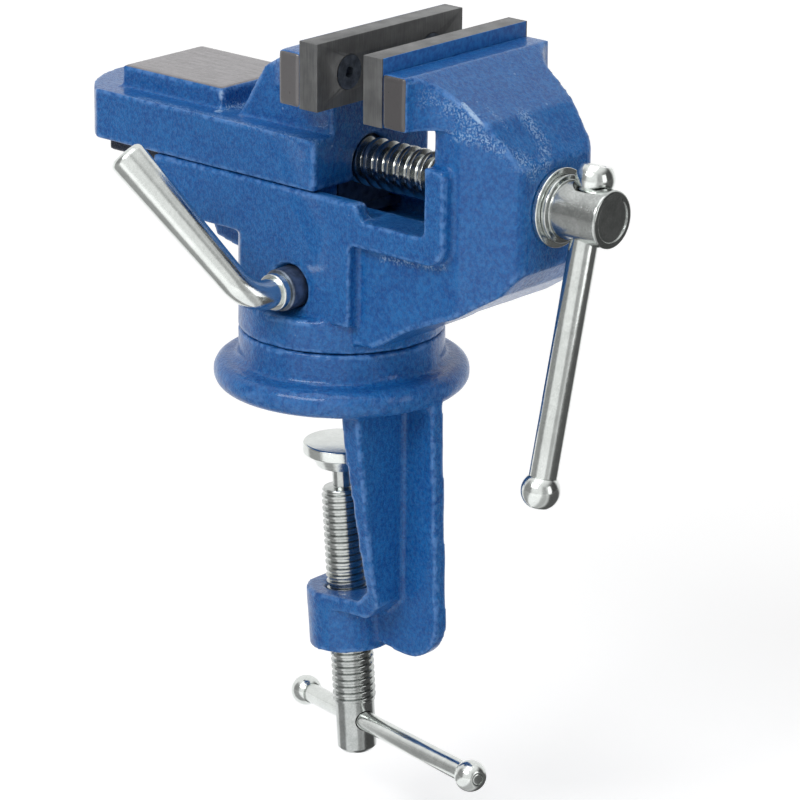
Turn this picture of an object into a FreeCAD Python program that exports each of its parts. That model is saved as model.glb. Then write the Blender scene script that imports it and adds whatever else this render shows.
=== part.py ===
"""Swivel bench vise that clamps to the edge of a table, with 60 mm jaws.

Frame: millimetres, +Z up along the swivel axis, origin in the middle of the seat
that stands on the bench, +X along the main screw towards its handle, -Y the side
with the swivel lock lever. The jaws stand open and the clamp holds a board.
"""
import FreeCAD, Part
import os
import re

import Sketcher

DOCUMENT = FreeCAD.newDocument("swivel_clamp_vise")
VECTOR = FreeCAD.Vector
ALONG_Y = VECTOR(0, 1, 0)
ALONG_Z = VECTOR(0, 0, 1)

# ---------------------------------------------------------------------------
# Driving dimensions
# ---------------------------------------------------------------------------

SIZES = {
    # how far a cutter runs past a face, and a joined piece runs into the next
    "overlap": 1.0,
    # seat, neck and spigot of the clamp frame
    "neck_radius": 29.3,
    "flange_reach": 7.1,
    "flange_height": 8.0,
    "flange_edge_round": 3.7,
    "neck_top": 17.0,
    "neck_foot_round": 2.0,
    "spigot_radius": 16.0,
    "spigot_top": 43.0,
    "lock_groove_depth": 1.5,
    "lock_groove_height": 12.6,
    "swivel_clearance": 0.08,
    "swivel_gap": 0.4,
    # column and arm of the C-shaped clamp frame, a T in section
    "column_inner_top": 19.0,
    "column_inner_bottom": 22.0,
    "column_outer": 25.5,
    "column_near_reach": 21.7,
    "column_near_waist": 15.3,
    "column_far_reach": 14.5,
    "column_waist_height": -48.0,
    "web_thickness": 4.6,
    "web_outer_top": 36.2,
    "web_outer_bottom": 39.1,
    "web_bottom": -76.2,
    "web_corner_round": 11.5,
    "arm_top": -59.6,
    "arm_thickness": 4.2,
    "arm_width": 24.2,
    "throat_round": 5.0,
    # boss of the table clamp, square to the leaning clamp screw
    "clamp_axis_x": 2.9,
    "clamp_lean_angle": 4.5,
    "boss_radius": 12.1,
    "boss_height": 17.6,
    "boss_mouth": 1.0,
    # clamp screw, measured along its axis from the middle of its ball
    "bench_thickness": 18.0,
    "clamp_ball_drop": 5.4,
    "clamp_ball_radius": 4.2,
    "clamp_neck_radius": 2.8,
    "clamp_neck_length": 8.2,
    "clamp_thread_radius": 6.25,
    "clamp_thread_depth": 0.75,
    "clamp_thread_length": 65.6,
    "clamp_pitch": 2.0,
    "clamp_end_radius": 5.7,
    "clamp_end_length": 14.6,
    "clamp_end_chamfer": 1.2,
    "clamp_bar_drop": 78.4,
    "thread_clearance": 0.06,
    # swivel pad on the ball
    "pad_radius": 11.0,
    "pad_rim_height": 3.4,
    "pad_height": 7.2,
    "pad_hub_radius": 7.0,
    "pad_socket_clearance": 0.08,
    # sliding bar of the clamp screw
    "clamp_bar_radius": 2.85,
    "clamp_bar_short": 28.3,
    "clamp_bar_long": 61.9,
    "clamp_bar_turn_angle": -16.7,
    "clamp_bar_ball_radius": 4.5,
    "clamp_bar_ball_seat": 3.3,
    "clamp_bar_ball_tip": 3.9,
    "clamp_bar_tenon_radius": 1.7,
    "bar_clearance": 0.2,
    # swivel body: drum, deck, window and rim
    "body_width": 48.0,
    "drum_shoulder": 26.5,
    "pad_right": 24.0,
    "deck_left": -50.5,
    "deck_bottom": 46.0,
    "deck_top": 62.2,
    "window_left_top": 26.3,
    "window_left_bottom": 28.5,
    "window_right": 51.0,
    "window_floor": 57.6,
    "window_round": 2.6,
    "rim_right": 58.0,
    "rim_top": 77.2,
    "rim_bottom": 50.0,
    "rim_bottom_round": 6.5,
    "rim_top_round": 2.0,
    "side_recess": 3.8,
    "gusset_thickness": 8.0,
    "gusset_inset": 1.0,
    "gusset_edge": 2.0,
    "gusset_knee_x": -45.5,
    "gusset_knee_z": 35.0,
    "gusset_foot_z": 31.0,
    "channel_wall": 4.5,
    "slot_width": 22.0,
    "lip_thickness": 3.0,
    "cavity_width": 32.0,
    "cavity_height": 5.6,
    # belly, upright and head of the fixed jaw
    "jaw_width": 60.0,
    "jaw_bottom": 87.5,
    "jaw_shoulder": 102.3,
    "jaw_back": 49.0,
    "slope_middle_x": 67.5,
    "slope_middle_z": 91.3,
    "nose_face": 77.5,
    "nose_top": 79.8,
    "nose_bottom": 50.5,
    "nose_width": 31.0,
    "nose_round": 4.0,
    "taper_start": 60.0,
    "flare_length": 11.5,
    "belly_front_x": 72.0,
    "belly_front_z": 43.9,
    "belly_middle_x": 58.8,
    "belly_middle_z": 35.6,
    "belly_back_x": 40.6,
    "belly_back_z": 27.7,
    "belly_foot_z": 20.5,
    # jaw plates and their countersunk screws
    "plate_front": 34.4,
    "plate_thickness": 6.6,
    "plate_top": 106.4,
    "plate_screw_spacing": 34.0,
    "plate_screw_drop": 9.9,
    "plate_screw_radius": 2.5,
    "plate_screw_length": 12.5,
    "plate_screw_head_radius": 4.8,
    "screw_hole_clearance": 0.25,
    "thread_play": 0.03,
    "hex_socket_width": 3.0,
    "hex_socket_depth": 2.2,
    # sliding jaw, measured along X from the front of its head
    "jaw_opening": 16.7,
    "slide_gap": 0.3,
    "block_top": 77.0,
    "tail_radius": 28.6,
    "tail_centre": 69.0,
    "moving_shoulder": 102.8,
    "moving_head_depth": 7.5,
    "moving_flare_length": 17.6,
    "web_crest": 25.6,
    "web_crest_height": 92.8,
    "web_foot": 35.6,
    "web_width": 32.8,
    "anvil_front": 42.0,
    "anvil_length": 39.6,
    "anvil_width": 32.6,
    "anvil_top": 83.2,
    "tongue_depth": 4.0,
    "tongue_length": 84.4,
    "slide_clearance": 0.4,
    "screw_channel_width": 14.8,
    "screw_channel_top": 74.6,
    "screw_channel_length": 83.1,
    "screw_channel_floor": 59.4,
    "front_wall": 3.0,
    "front_bore_radius": 7.75,
    "leg_length": 51.0,
    # nut and keeper under the sliding jaw
    "nut_length": 12.0,
    "nut_width": 21.0,
    "nut_top": 74.4,
    "nut_clearance": 0.1,
    "keeper_width": 30.8,
    "keeper_thickness": 3.0,
    "keeper_clearance": 0.4,
    "keeper_screw_first": 22.0,
    "keeper_screw_second": 43.0,
    "keeper_screw_radius": 2.5,
    "keeper_screw_length": 7.0,
    "keeper_screw_head_radius": 4.4,
    # main screw, washer, collar and pin
    "screw_height": 66.8,
    "screw_radius": 7.0,
    "screw_thread_depth": 1.6,
    "screw_pitch": 4.0,
    "screw_left": -50.0,
    "screw_run_out": 45.5,
    "journal_radius": 6.8,
    "journal_clearance": 0.3,
    "running_gap": 0.1,
    "washer_radius": 11.0,
    "washer_thickness": 1.6,
    "screw_flange_radius": 9.4,
    "screw_flange_thickness": 1.6,
    "head_radius": 8.0,
    "head_length": 15.6,
    "head_chamfer": 0.8,
    "head_recess_radius": 6.2,
    "head_recess_depth": 0.5,
    "collar_radius": 10.0,
    "collar_length": 4.2,
    "collar_gap": 0.4,
    "collar_pin_radius": 1.5,
    "collar_pin_inset": 0.5,
    "press_clearance": 0.02,
    # sliding handle of the main screw
    "handle_x": 88.3,
    "handle_lean_angle": 13.7,
    "handle_radius": 3.9,
    "handle_short": 9.6,
    "handle_long": 75.4,
    "handle_ball_radius": 5.4,
    "handle_ball_seat": 3.6,
    "handle_ball_tip": 4.7,
    "handle_knob_tip": 3.6,
    "handle_seat_clearance": 0.2,
    "handle_tenon_radius": 2.4,
    # swivel lock: shoe, bolt, ring and bent lever
    "lock_x": 2.0,
    "lock_height": 33.7,
    "lock_bolt_radius": 6.0,
    "lock_bolt_stand_out": 4.4,
    "lock_mouth_radius": 6.9,
    "lock_mouth_depth": 1.4,
    "lock_shoe_length": 2.6,
    "lock_shoe_gap": 0.15,
    "lock_ring_radius": 5.2,
    "lock_ring_length": 2.6,
    "lever_radius": 4.2,
    "lever_tip_radius": 5.3,
    "lever_socket_depth": 6.0,
    "lever_elbow": 16.0,
    "lever_elbow_round": 9.0,
    "lever_bend_angle": 74.3,
    "lever_arm_length": 52.9,
    "lever_turn_angle": -41.4,
    "lever_end_round": 2.0,
}

SHEET = DOCUMENT.addObject("Spreadsheet::Sheet", "Sizes")
for row, (alias, value) in enumerate(SIZES.items(), start=1):
    SHEET.set(f"A{row}", alias)
    SHEET.set(f"B{row}", str(value))
    SHEET.setAlias(f"B{row}", alias)
DOCUMENT.recompute()


# ---------------------------------------------------------------------------
# Modelling helpers: every size given as text is a formula on the sheet's names
# ---------------------------------------------------------------------------

def formula(text):
    """Write a formula's size names as references to the sheet's cells."""
    def reference(match):
        word = match.group(0)
        return f"Sizes.{word}" if word in SIZES else word
    return re.sub(r"[A-Za-z_]+", reference, text)


def size(alias):
    """The number in one cell of the sheet."""
    return float(getattr(SHEET, alias))


def bind(item, **formulas):
    """Bind an object's properties; x, y and z are its place."""
    places = {"x": "Placement.Base.x", "y": "Placement.Base.y", "z": "Placement.Base.z"}
    for name, text in formulas.items():
        item.setExpression(places.get(name, name), formula(text))
    return item


def box(name, x, y, z):
    """A box between two ends on each axis."""
    item = DOCUMENT.addObject("Part::Box", name)
    lengths = [f"({high}) - ({low})" for low, high in (x, y, z)]
    return bind(item, Length=lengths[0], Width=lengths[1], Height=lengths[2], x=x[0], y=y[0], z=z[0])


def centred(width):
    """The two ends of a width that lies evenly about the middle plane."""
    return f"-({width}) / 2", f"({width}) / 2"


TURNS = {
    "X": "rotation(vector(0; 1; 0); 90)",
    "Y": "rotation(vector(1; 0; 0); -90)",
    "Z": "rotation(vector(0; 0; 1); 0)",
}


def stand(item, axis, start, across):
    """Put a piece built along Z on a line along one axis; across is in X, Y, Z order."""
    place = {
        "X": (start, across[0], across[1]),
        "Y": (across[0], start, across[1]),
        "Z": (across[0], across[1], start),
    }[axis]
    base = "; ".join(f"({part})" for part in place)
    item.setExpression("Placement", formula(f"placement(vector({base}); {TURNS[axis]})"))
    return item


def cylinder(name, axis, radius, ends, across=("0", "0")):
    """A cylinder between two ends along one axis."""
    item = DOCUMENT.addObject("Part::Cylinder", name)
    bind(item, Radius=radius, Height=f"({ends[1]}) - ({ends[0]})")
    return stand(item, axis, ends[0], across)


def cone(name, axis, radii, ends, across=("0", "0")):
    """A cone frustum between two ends along one axis, from its first radius to its second."""
    item = DOCUMENT.addObject("Part::Cone", name)
    bind(item, Radius1=radii[0], Radius2=radii[1], Height=f"({ends[1]}) - ({ends[0]})")
    return stand(item, axis, ends[0], across)


def hexagon(name, axis, width, ends, across):
    """A hexagonal prism of a width across its flats."""
    item = DOCUMENT.addObject("Part::Prism", name)
    item.Polygon = 6
    bind(item, Circumradius=f"{width} / 2 / cos(30)", Height=f"({ends[1]}) - ({ends[0]})")
    return stand(item, axis, ends[0], across)


def sphere(name, radius, x="0", y="0", z="0"):
    item = DOCUMENT.addObject("Part::Sphere", name)
    return bind(item, Radius=radius, x=x, y=y, z=z)


PLANES = {
    "XY": FreeCAD.Rotation(),
    "XZ": FreeCAD.Rotation(VECTOR(1, 0, 0), 90),
    "YZ": FreeCAD.Rotation(ALONG_Y, 90) * FreeCAD.Rotation(ALONG_Z, 90),
}


# The corners of an outline stand in a ring, from this one on, until their formulas place them.
FIRST_CORNER = VECTOR(50, 20, 0)


def outline(name, plane, points):
    """A closed sketch of straight sides whose corners are held by formulas."""
    sketch = DOCUMENT.addObject("Sketcher::SketchObject", name)
    sketch.Placement = FreeCAD.Placement(VECTOR(0, 0, 0), PLANES[plane])
    count = len(points)
    turns = [FreeCAD.Rotation(ALONG_Z, 360 * step / count) for step in range(count)]
    starts = [turn.multVec(FIRST_CORNER) for turn in turns]
    for step in range(count):
        side = Part.LineSegment(starts[step], starts[(step + 1) % count])
        sketch.addGeometry(side, False)
    for step in range(count):
        sketch.addConstraint(Sketcher.Constraint("Coincident", step, 2, (step + 1) % count, 1))
    for step, corner in enumerate(points):
        for kind, text, start in zip(("DistanceX", "DistanceY"), corner, starts[step]):
            index = sketch.addConstraint(Sketcher.Constraint(kind, -1, 1, step, 1, start))
            sketch.setExpression(f"Constraints[{index}]", formula(text))
    return sketch


def prism(name, plane, points, ends):
    """A prism of an outline between two ends along the plane's normal: +Z, -Y or +X."""
    item = DOCUMENT.addObject("Part::Extrusion", name)
    item.Base = outline(f"{name}_outline", plane, points)
    item.DirMode = "Normal"
    item.Solid = True
    return bind(item, LengthFwd=ends[1], LengthRev=f"-({ends[0]})")


def turned(name, points):
    """A solid turned about the Z axis from an outline of radii and heights."""
    item = DOCUMENT.addObject("Part::Revolution", name)
    item.Source = outline(f"{name}_outline", "XZ", points)
    item.Axis = ALONG_Z
    item.Base = VECTOR(0, 0, 0)
    item.Angle = 360
    item.Solid = True
    return item


def fuse(name, *pieces):
    item = DOCUMENT.addObject("Part::MultiFuse", name)
    item.Shapes = list(pieces)
    item.Refine = True
    return item


def common(name, *pieces):
    item = DOCUMENT.addObject("Part::MultiCommon", name)
    item.Shapes = list(pieces)
    item.Refine = True
    return item


def cut(name, base, *tools):
    """The base with the tools taken away."""
    item = DOCUMENT.addObject("Part::Cut", name)
    item.Base = base
    item.Tool = tools[0] if len(tools) == 1 else fuse(f"{name}_tools", *tools)
    item.Refine = True
    return item


def group(name, *pieces):
    item = DOCUMENT.addObject("Part::Compound", name)
    item.Links = list(pieces)
    return item


def in_frame(item, frame):
    """Place a finished piece, built about its own axes, in a frame."""
    item.setExpression("Placement", formula(frame))
    return item


def middle(edge):
    """The point half way along an edge."""
    return edge.valueAt((edge.FirstParameter + edge.LastParameter) / 2)


def runs_along(edge, direction):
    """Whether an edge is straight and runs along a direction."""
    straight = isinstance(edge.Curve, (Part.Line, Part.LineSegment))
    return straight and abs(edge.tangentAt(edge.FirstParameter).dot(direction)) > 0.999


def lies_at(edge, **place):
    """Whether the middle of an edge has the given x, y or z, or radius about the Z axis."""
    point = middle(edge)
    found = {"x": point.x, "y": point.y, "z": point.z, "radius": (point.x ** 2 + point.y ** 2) ** 0.5}
    return all(abs(found[name] - wanted) < 0.05 for name, wanted in place.items())


def round_edges(name, base, radius, chosen):
    """Fillet the edges of the base that a rule picks."""
    DOCUMENT.recompute()
    picked = [index for index, edge in enumerate(base.Shape.Edges, start=1) if chosen(edge)]
    if not picked:
        raise RuntimeError(f"{name}: no edge to round")
    item = DOCUMENT.addObject("Part::Fillet", name)
    item.Base = base
    item.Edges = [(index, size(radius), size(radius)) for index in picked]
    return item


# One ridge of a thread, as shares of its pitch: where it leaves the root, reaches its
# crest, leaves its crest and is back at the root.
RIDGE_START = 0.25
CREST_START = 0.42
CREST_END = 0.74
RIDGE_END = 0.91


def threaded_rod(name, radius, depth, pitch, length):
    """A rod along Z from the origin with the ridges of a trapezoidal thread."""
    crest, root = radius, radius - depth
    points = [VECTOR(0, 0, 0), VECTOR(root, 0, 0)]
    for turn in range(int(length / pitch)):
        foot = turn * pitch
        points.append(VECTOR(root, 0, foot + RIDGE_START * pitch))
        points.append(VECTOR(crest, 0, foot + CREST_START * pitch))
        points.append(VECTOR(crest, 0, foot + CREST_END * pitch))
        points.append(VECTOR(root, 0, foot + RIDGE_END * pitch))
    points += [VECTOR(root, 0, length), VECTOR(0, 0, length)]
    face = Part.Face(Part.makePolygon(points + points[:1]))
    item = DOCUMENT.addObject("Part::Feature", name)
    item.Shape = face.revolve(VECTOR(0, 0, 0), ALONG_Z, 360)
    return item


SUB_PARTS = []


def sub_part(label, item):
    """Name a finished piece; its label is the name of its file."""
    item.Label = label
    SUB_PARTS.append(item)
    return item


# ---------------------------------------------------------------------------
# Places that several pieces share
# ---------------------------------------------------------------------------

FLANGE_RADIUS = "(neck_radius + flange_reach)"
HALF_SIDE = "(body_width / 2 - side_recess)"
BODY_BOTTOM = "(neck_top + swivel_gap)"
FIXED_BACK = "(plate_front + plate_thickness)"
MOVING_FRONT = "(plate_front - jaw_opening)"
HEAD_FRONT = "(plate_front - jaw_opening - plate_thickness)"
BLOCK_BOTTOM = "(deck_top + slide_gap)"
LIP_BOTTOM = "(window_floor - lip_thickness)"
KEEPER_TOP = "(window_floor - lip_thickness - keeper_clearance)"
KEEPER_BOTTOM = "(window_floor - lip_thickness - keeper_clearance - keeper_thickness)"
WASHER_LEFT = "(nose_face + running_gap)"
WASHER_RIGHT = "(nose_face + running_gap + washer_thickness)"
HEAD_LEFT = "(nose_face + running_gap * 2 + washer_thickness + screw_flange_thickness)"
HEAD_RIGHT = "(nose_face + running_gap * 2 + washer_thickness + screw_flange_thickness + head_length)"
COLLAR_RIGHT = "(window_right - collar_gap)"
COLLAR_LEFT = "(window_right - collar_gap - collar_length)"
PLATE_SCREW_Z = "(plate_top - plate_screw_drop)"
BOLT_OUTER = "(-body_width / 2 - lock_bolt_stand_out)"
SHOE_INNER = "(lock_groove_depth - spigot_radius - lock_shoe_gap)"
SHOE_OUTER = "(lock_groove_depth - spigot_radius - lock_shoe_gap - lock_shoe_length)"

# The clamp axis leans in the XZ plane, square to the top of the arm.
BOSS_X = "clamp_axis_x"
BOSS_Z = "(arm_top - (column_inner_bottom - throat_round - clamp_axis_x) * tan(clamp_lean_angle))"
BALL_Z = "(-bench_thickness - clamp_ball_drop)"
BALL_X = f"(clamp_axis_x - ({BALL_Z} - {BOSS_Z}) * tan(clamp_lean_angle))"
BAR_X = f"({BALL_X} + clamp_bar_drop * sin(clamp_lean_angle))"
BAR_Z = f"({BALL_Z} - clamp_bar_drop * cos(clamp_lean_angle))"
LEAN = "rotation(vector(0; 1; 0); -clamp_lean_angle)"
BOSS_FRAME = f"placement(vector({BOSS_X}; 0; {BOSS_Z}); {LEAN})"
BALL_FRAME = f"placement(vector({BALL_X}; 0; {BALL_Z}); {LEAN})"
BAR_TURN = "rotation(vector(0; 0; 1); clamp_bar_turn_angle) * rotation(vector(0; 1; 0); 90)"
CLAMP_BAR_FRAME = f"placement(vector({BAR_X}; 0; {BAR_Z}); {LEAN} * {BAR_TURN})"
HANDLE_TURN = "rotation(vector(1; 0; 0); -handle_lean_angle)"
HANDLE_FRAME = f"placement(vector(handle_x; 0; screw_height); {HANDLE_TURN})"
ELBOW_Y = "(-body_width / 2 - lever_elbow)"
LEVER_TURN = "rotation(vector(0; 1; 0); lever_turn_angle)"
LEVER_FRAME = f"placement(vector(lock_x; {ELBOW_Y}; lock_height); {LEVER_TURN})"


# ---------------------------------------------------------------------------
# Clamp frame: seat, spigot, column and the leaning boss of the table clamp
# ---------------------------------------------------------------------------

def seat_and_spigot():
    """The round flange that stands on the bench, the neck and the pin that the body turns on."""
    groove_low = "lock_height - lock_groove_height / 2"
    groove_high = "lock_height + lock_groove_height / 2"
    groove_radius = "spigot_radius - lock_groove_depth"
    solid = turned("seat", [
        ("0", "0"),
        (FLANGE_RADIUS, "0"),
        (FLANGE_RADIUS, "flange_height"),
        ("neck_radius", "flange_height"),
        ("neck_radius", "neck_top"),
        ("spigot_radius", "neck_top"),
        ("spigot_radius", groove_low),
        (groove_radius, groove_low),
        (groove_radius, groove_high),
        ("spigot_radius", groove_high),
        ("spigot_radius", "spigot_top"),
        ("0", "spigot_top"),
    ])
    outside = size("neck_radius") + size("flange_reach")
    edge_of_flange = round_edges(
        "seat_bullnose", solid, "flange_edge_round",
        lambda edge: lies_at(edge, radius=outside) and not runs_along(edge, ALONG_Z))
    return round_edges(
        "seat_filleted", edge_of_flange, "neck_foot_round",
        lambda edge: lies_at(edge, radius=size("neck_radius"), z=size("flange_height")))


def column_flange():
    """The plate of the T, which turns in under the bench as the top of the arm."""
    plate = prism("column_plate", "XZ", [
        ("column_inner_top", "flange_height / 2"),
        ("column_inner_top", "-flange_height"),
        ("column_inner_bottom", "column_waist_height"),
        ("column_inner_bottom", "arm_top + throat_round"),
        ("column_inner_bottom - throat_round", "arm_top"),
        (BOSS_X, BOSS_Z),
        (BOSS_X, f"{BOSS_Z} - arm_thickness"),
        ("column_outer - throat_round", "arm_top - arm_thickness"),
        ("column_outer", "arm_top - arm_thickness + throat_round"),
        ("column_outer", "flange_height / 2"),
    ], centred("column_near_reach * 4"))
    taper = prism("column_taper", "YZ", [
        ("-column_near_reach", "flange_height"),
        ("-column_near_reach", "0"),
        ("-column_near_waist", "column_waist_height"),
        ("-arm_width / 2", "arm_top"),
        ("-arm_width / 2", "web_bottom"),
        ("arm_width / 2", "web_bottom"),
        ("arm_width / 2", "arm_top"),
        ("column_far_reach", "column_waist_height"),
        ("column_far_reach", "flange_height"),
    ], ("0", "web_outer_bottom * 2"))
    return common("column_flange", plate, taper)


def column_web():
    """The rib on the back of the column, which runs on under the arm to the boss."""
    web = prism("column_web", "XZ", [
        ("(column_inner_bottom + column_outer) / 2", "flange_height / 2"),
        ("(column_inner_bottom + column_outer) / 2", "arm_top - arm_thickness / 2"),
        (BOSS_X, f"{BOSS_Z} - arm_thickness / 2"),
        (BOSS_X, "web_bottom + arm_thickness"),
        ("column_outer", "web_bottom"),
        ("web_outer_bottom", "web_bottom"),
        ("web_outer_top", "flange_height / 2"),
    ], centred("web_thickness"))
    return round_edges(
        "column_web_rounded", web, "web_corner_round",
        lambda edge: runs_along(edge, ALONG_Y)
        and lies_at(edge, x=size("web_outer_bottom"), z=size("web_bottom")))


def clamp_frame():
    boss = cylinder("boss_barrel", "Z", "boss_radius", ("-boss_height", "0"))
    bore_radius = "clamp_thread_radius + thread_clearance"
    bore = cylinder("boss_bore", "Z", bore_radius, ("-boss_height * 2", "boss_height"))
    mouth = cone("boss_mouth", "Z", (bore_radius, f"{bore_radius} + boss_mouth"), ("-boss_mouth", "0"))
    leaning_boss = in_frame(group("boss_leaning", boss), BOSS_FRAME)
    leaning_bore = in_frame(fuse("bore_leaning", bore, mouth), BOSS_FRAME)
    solid = fuse("frame_solid", seat_and_spigot(), column_flange(), column_web(), leaning_boss)
    sub_part("clamp_frame", cut("clamp_frame", solid, leaning_bore))


# ---------------------------------------------------------------------------
# Table clamp: pad, screw with ball end, and its sliding bar
# ---------------------------------------------------------------------------

def clamp_pad():
    """A flat disc on a hub whose socket snaps over the ball."""
    place = (BALL_X, "0")
    hub_top = "-bench_thickness - pad_rim_height"
    rim = cylinder("pad_rim", "Z", "pad_radius", (hub_top, "-bench_thickness"), place)
    hub = cone("pad_hub", "Z", ("pad_hub_radius", "(pad_radius + pad_hub_radius) / 2"),
               ("-bench_thickness - pad_height", hub_top), place)
    socket = sphere("pad_socket", "clamp_ball_radius + pad_socket_clearance", x=BALL_X, z=BALL_Z)
    sub_part("clamp_pad", cut("clamp_pad", fuse("pad_solid", rim, hub), socket))


def clamp_screw():
    """Ball, neck, thread and plain end, built down the Z axis from the middle of the ball."""
    thread_low = "-clamp_neck_length - clamp_thread_length"
    end_low = f"{thread_low} - clamp_end_length"
    rod = threaded_rod("clamp_thread", size("clamp_thread_radius"), size("clamp_thread_depth"),
                       size("clamp_pitch"), size("clamp_thread_length"))
    bind(rod, z=thread_low)
    solid = fuse(
        "clamp_screw_solid",
        sphere("clamp_ball", "clamp_ball_radius"),
        cylinder("clamp_neck", "Z", "clamp_neck_radius", ("-clamp_neck_length", "0")),
        rod,
        cylinder("clamp_end", "Z", "clamp_end_radius", (f"{end_low} + clamp_end_chamfer", thread_low)),
        cone("clamp_end_bevel", "Z", ("clamp_end_radius - clamp_end_chamfer", "clamp_end_radius"),
             (end_low, f"{end_low} + clamp_end_chamfer")),
    )
    upright = in_frame(group("clamp_screw_leaning", solid), BALL_FRAME)
    hole = cylinder("clamp_bar_hole", "Z", "clamp_bar_radius + bar_clearance",
                    centred("clamp_end_radius * 4"))
    leaning_hole = in_frame(group("clamp_bar_hole_leaning", hole), CLAMP_BAR_FRAME)
    sub_part("clamp_screw", cut("clamp_screw", upright, leaning_hole))


def ball_end(label, kind, centre, outward, reach, frame):
    """A ball riveted on the tenon at one end of a bar, flat where it seats and at its tip."""
    seat = f"{centre} - ({outward}) * {kind}_ball_seat"
    tip = f"{centre} + ({outward}) * {reach}"
    low, high = (seat, tip) if outward == "1" else (tip, seat)
    ball = sphere(f"{label}_ball", f"{kind}_ball_radius", z=centre)
    slab = cylinder(f"{label}_slab", "Z", f"{kind}_ball_radius * 2", (low, high))
    bore = cylinder(f"{label}_bore", "Z", f"{kind}_tenon_radius + press_clearance", (low, high))
    sub_part(label, in_frame(cut(label, common(f"{label}_solid", ball, slab), bore), frame))


def sliding_bar(label, kind, low, high, ends, high_tip, frame):
    """A round bar along its frame's Z axis between the middles of two balls."""
    low_tip = f"{kind}_ball_tip"
    low_seat = f"{low} + {kind}_ball_seat"
    high_seat = f"{high} - {kind}_ball_seat"
    bar = cylinder(f"{label}_rod", "Z", f"{kind}_radius", (low_seat, high_seat))
    tenon_ends = (f"{low} - {low_tip}", f"{high} + {high_tip}")
    tenons = cylinder(f"{label}_tenons", "Z", f"{kind}_tenon_radius", tenon_ends)
    sub_part(label, in_frame(fuse(label, bar, tenons), frame))
    ball_end(ends[0], kind, low, "-1", low_tip, frame)
    ball_end(ends[1], kind, high, "1", high_tip, frame)


# ---------------------------------------------------------------------------
# Swivel body with the fixed jaw
# ---------------------------------------------------------------------------

def flare_tools(name, tip, half_width, length):
    """Two upright rollers that scoop a jaw's back from its full width to a narrower one.

    The scoop leaves the full width at tip and is tangent to the narrow width at tip + length.
    """
    step = f"(jaw_width / 2 - {half_width})"
    radius = f"((({length}) ^ 2 + {step} ^ 2) / (2 * {step}))"
    across = f"({half_width} + {radius})"
    ends = ("jaw_bottom - overlap", "plate_top")
    place = f"{tip} + ({length})"
    return [
        cylinder(f"{name}_near", "Z", radius, ends, (place, f"-{across}")),
        cylinder(f"{name}_far", "Z", radius, ends, (place, across)),
    ]


def deck_and_rim():
    """The full-width casting that guides the sliding jaw, with the window before the upright."""
    profile = prism("deck_profile", "XZ", [
        ("deck_left", "deck_bottom"),
        ("pad_right", "deck_bottom"),
        ("pad_right", "rim_bottom"),
        ("rim_right", "rim_bottom"),
        ("rim_right", "rim_top"),
        ("window_right", "rim_top"),
        ("window_right", "window_floor"),
        ("window_left_bottom", "window_floor"),
        ("window_left_top", "deck_top"),
        ("deck_left", "deck_top"),
    ], centred("body_width"))
    floor = round_edges(
        "window_corners", profile, "window_round",
        lambda edge: runs_along(edge, ALONG_Y) and lies_at(edge, z=size("window_floor")))
    lower = round_edges(
        "rim_lower_corner", floor, "rim_bottom_round",
        lambda edge: runs_along(edge, ALONG_Y)
        and lies_at(edge, x=size("rim_right"), z=size("rim_bottom")))
    return round_edges(
        "rim_upper_corner", lower, "rim_top_round",
        lambda edge: runs_along(edge, ALONG_Y)
        and lies_at(edge, x=size("rim_right"), z=size("rim_top")))


def drum():
    """The round hub over the spigot, with a square pad for the lock above its shoulder."""
    low = cylinder("drum_low", "Z", "neck_radius", (BODY_BOTTOM, "drum_shoulder"))
    high = cylinder("drum_high", "Z", "neck_radius", ("drum_shoulder", "deck_bottom + overlap"))
    heights = ("drum_shoulder", "deck_bottom + overlap")
    flats = box("drum_flats", ("-neck_radius", "0"), centred("body_width"), heights)
    pad = box("lock_pad", ("0", "pad_right"), centred("body_width"), heights)
    return [low, common("drum_flatted", high, flats), pad]


def gusset():
    """The rib under the left end of the deck."""
    return prism("gusset", "XZ", [
        ("deck_left + gusset_inset", "deck_bottom + overlap"),
        ("deck_left + gusset_inset", "deck_bottom - gusset_edge"),
        ("gusset_knee_x", "gusset_knee_z"),
        ("-neck_radius", "gusset_foot_z"),
        ("-neck_radius + gusset_thickness", "gusset_foot_z"),
        ("-neck_radius + gusset_thickness", "deck_bottom + overlap"),
    ], centred("gusset_thickness"))


def upright():
    """The belly and the upright of the fixed jaw, tapered in plan to its nose."""
    inner_x = "pad_right - side_recess"
    profile = prism("upright_profile", "XZ", [
        (inner_x, "belly_foot_z"),
        ("neck_radius", "belly_foot_z"),
        ("belly_back_x", "belly_back_z"),
        ("belly_middle_x", "belly_middle_z"),
        ("belly_front_x", "belly_front_z"),
        ("nose_face", "nose_bottom"),
        ("nose_face", "nose_top"),
        ("slope_middle_x", "slope_middle_z"),
        ("jaw_back", "jaw_shoulder"),
        (FIXED_BACK, "jaw_shoulder"),
        (FIXED_BACK, "jaw_bottom"),
        ("window_right", "jaw_bottom"),
        ("window_right", "window_floor"),
        (inner_x, "window_floor"),
    ], centred(f"{HALF_SIDE} * 2"))
    plan = prism("upright_plan", "XY", [
        (inner_x, f"-{HALF_SIDE}"),
        ("taper_start", f"-{HALF_SIDE}"),
        ("nose_face", "-nose_width / 2"),
        ("nose_face", "nose_width / 2"),
        ("taper_start", HALF_SIDE),
        (inner_x, HALF_SIDE),
    ], ("0", "plate_top"))
    solid = common("upright_tapered", profile, plan)
    return round_edges(
        "upright_nose", solid, "nose_round",
        lambda edge: runs_along(edge, ALONG_Z) and lies_at(edge, x=size("nose_face")))


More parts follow.
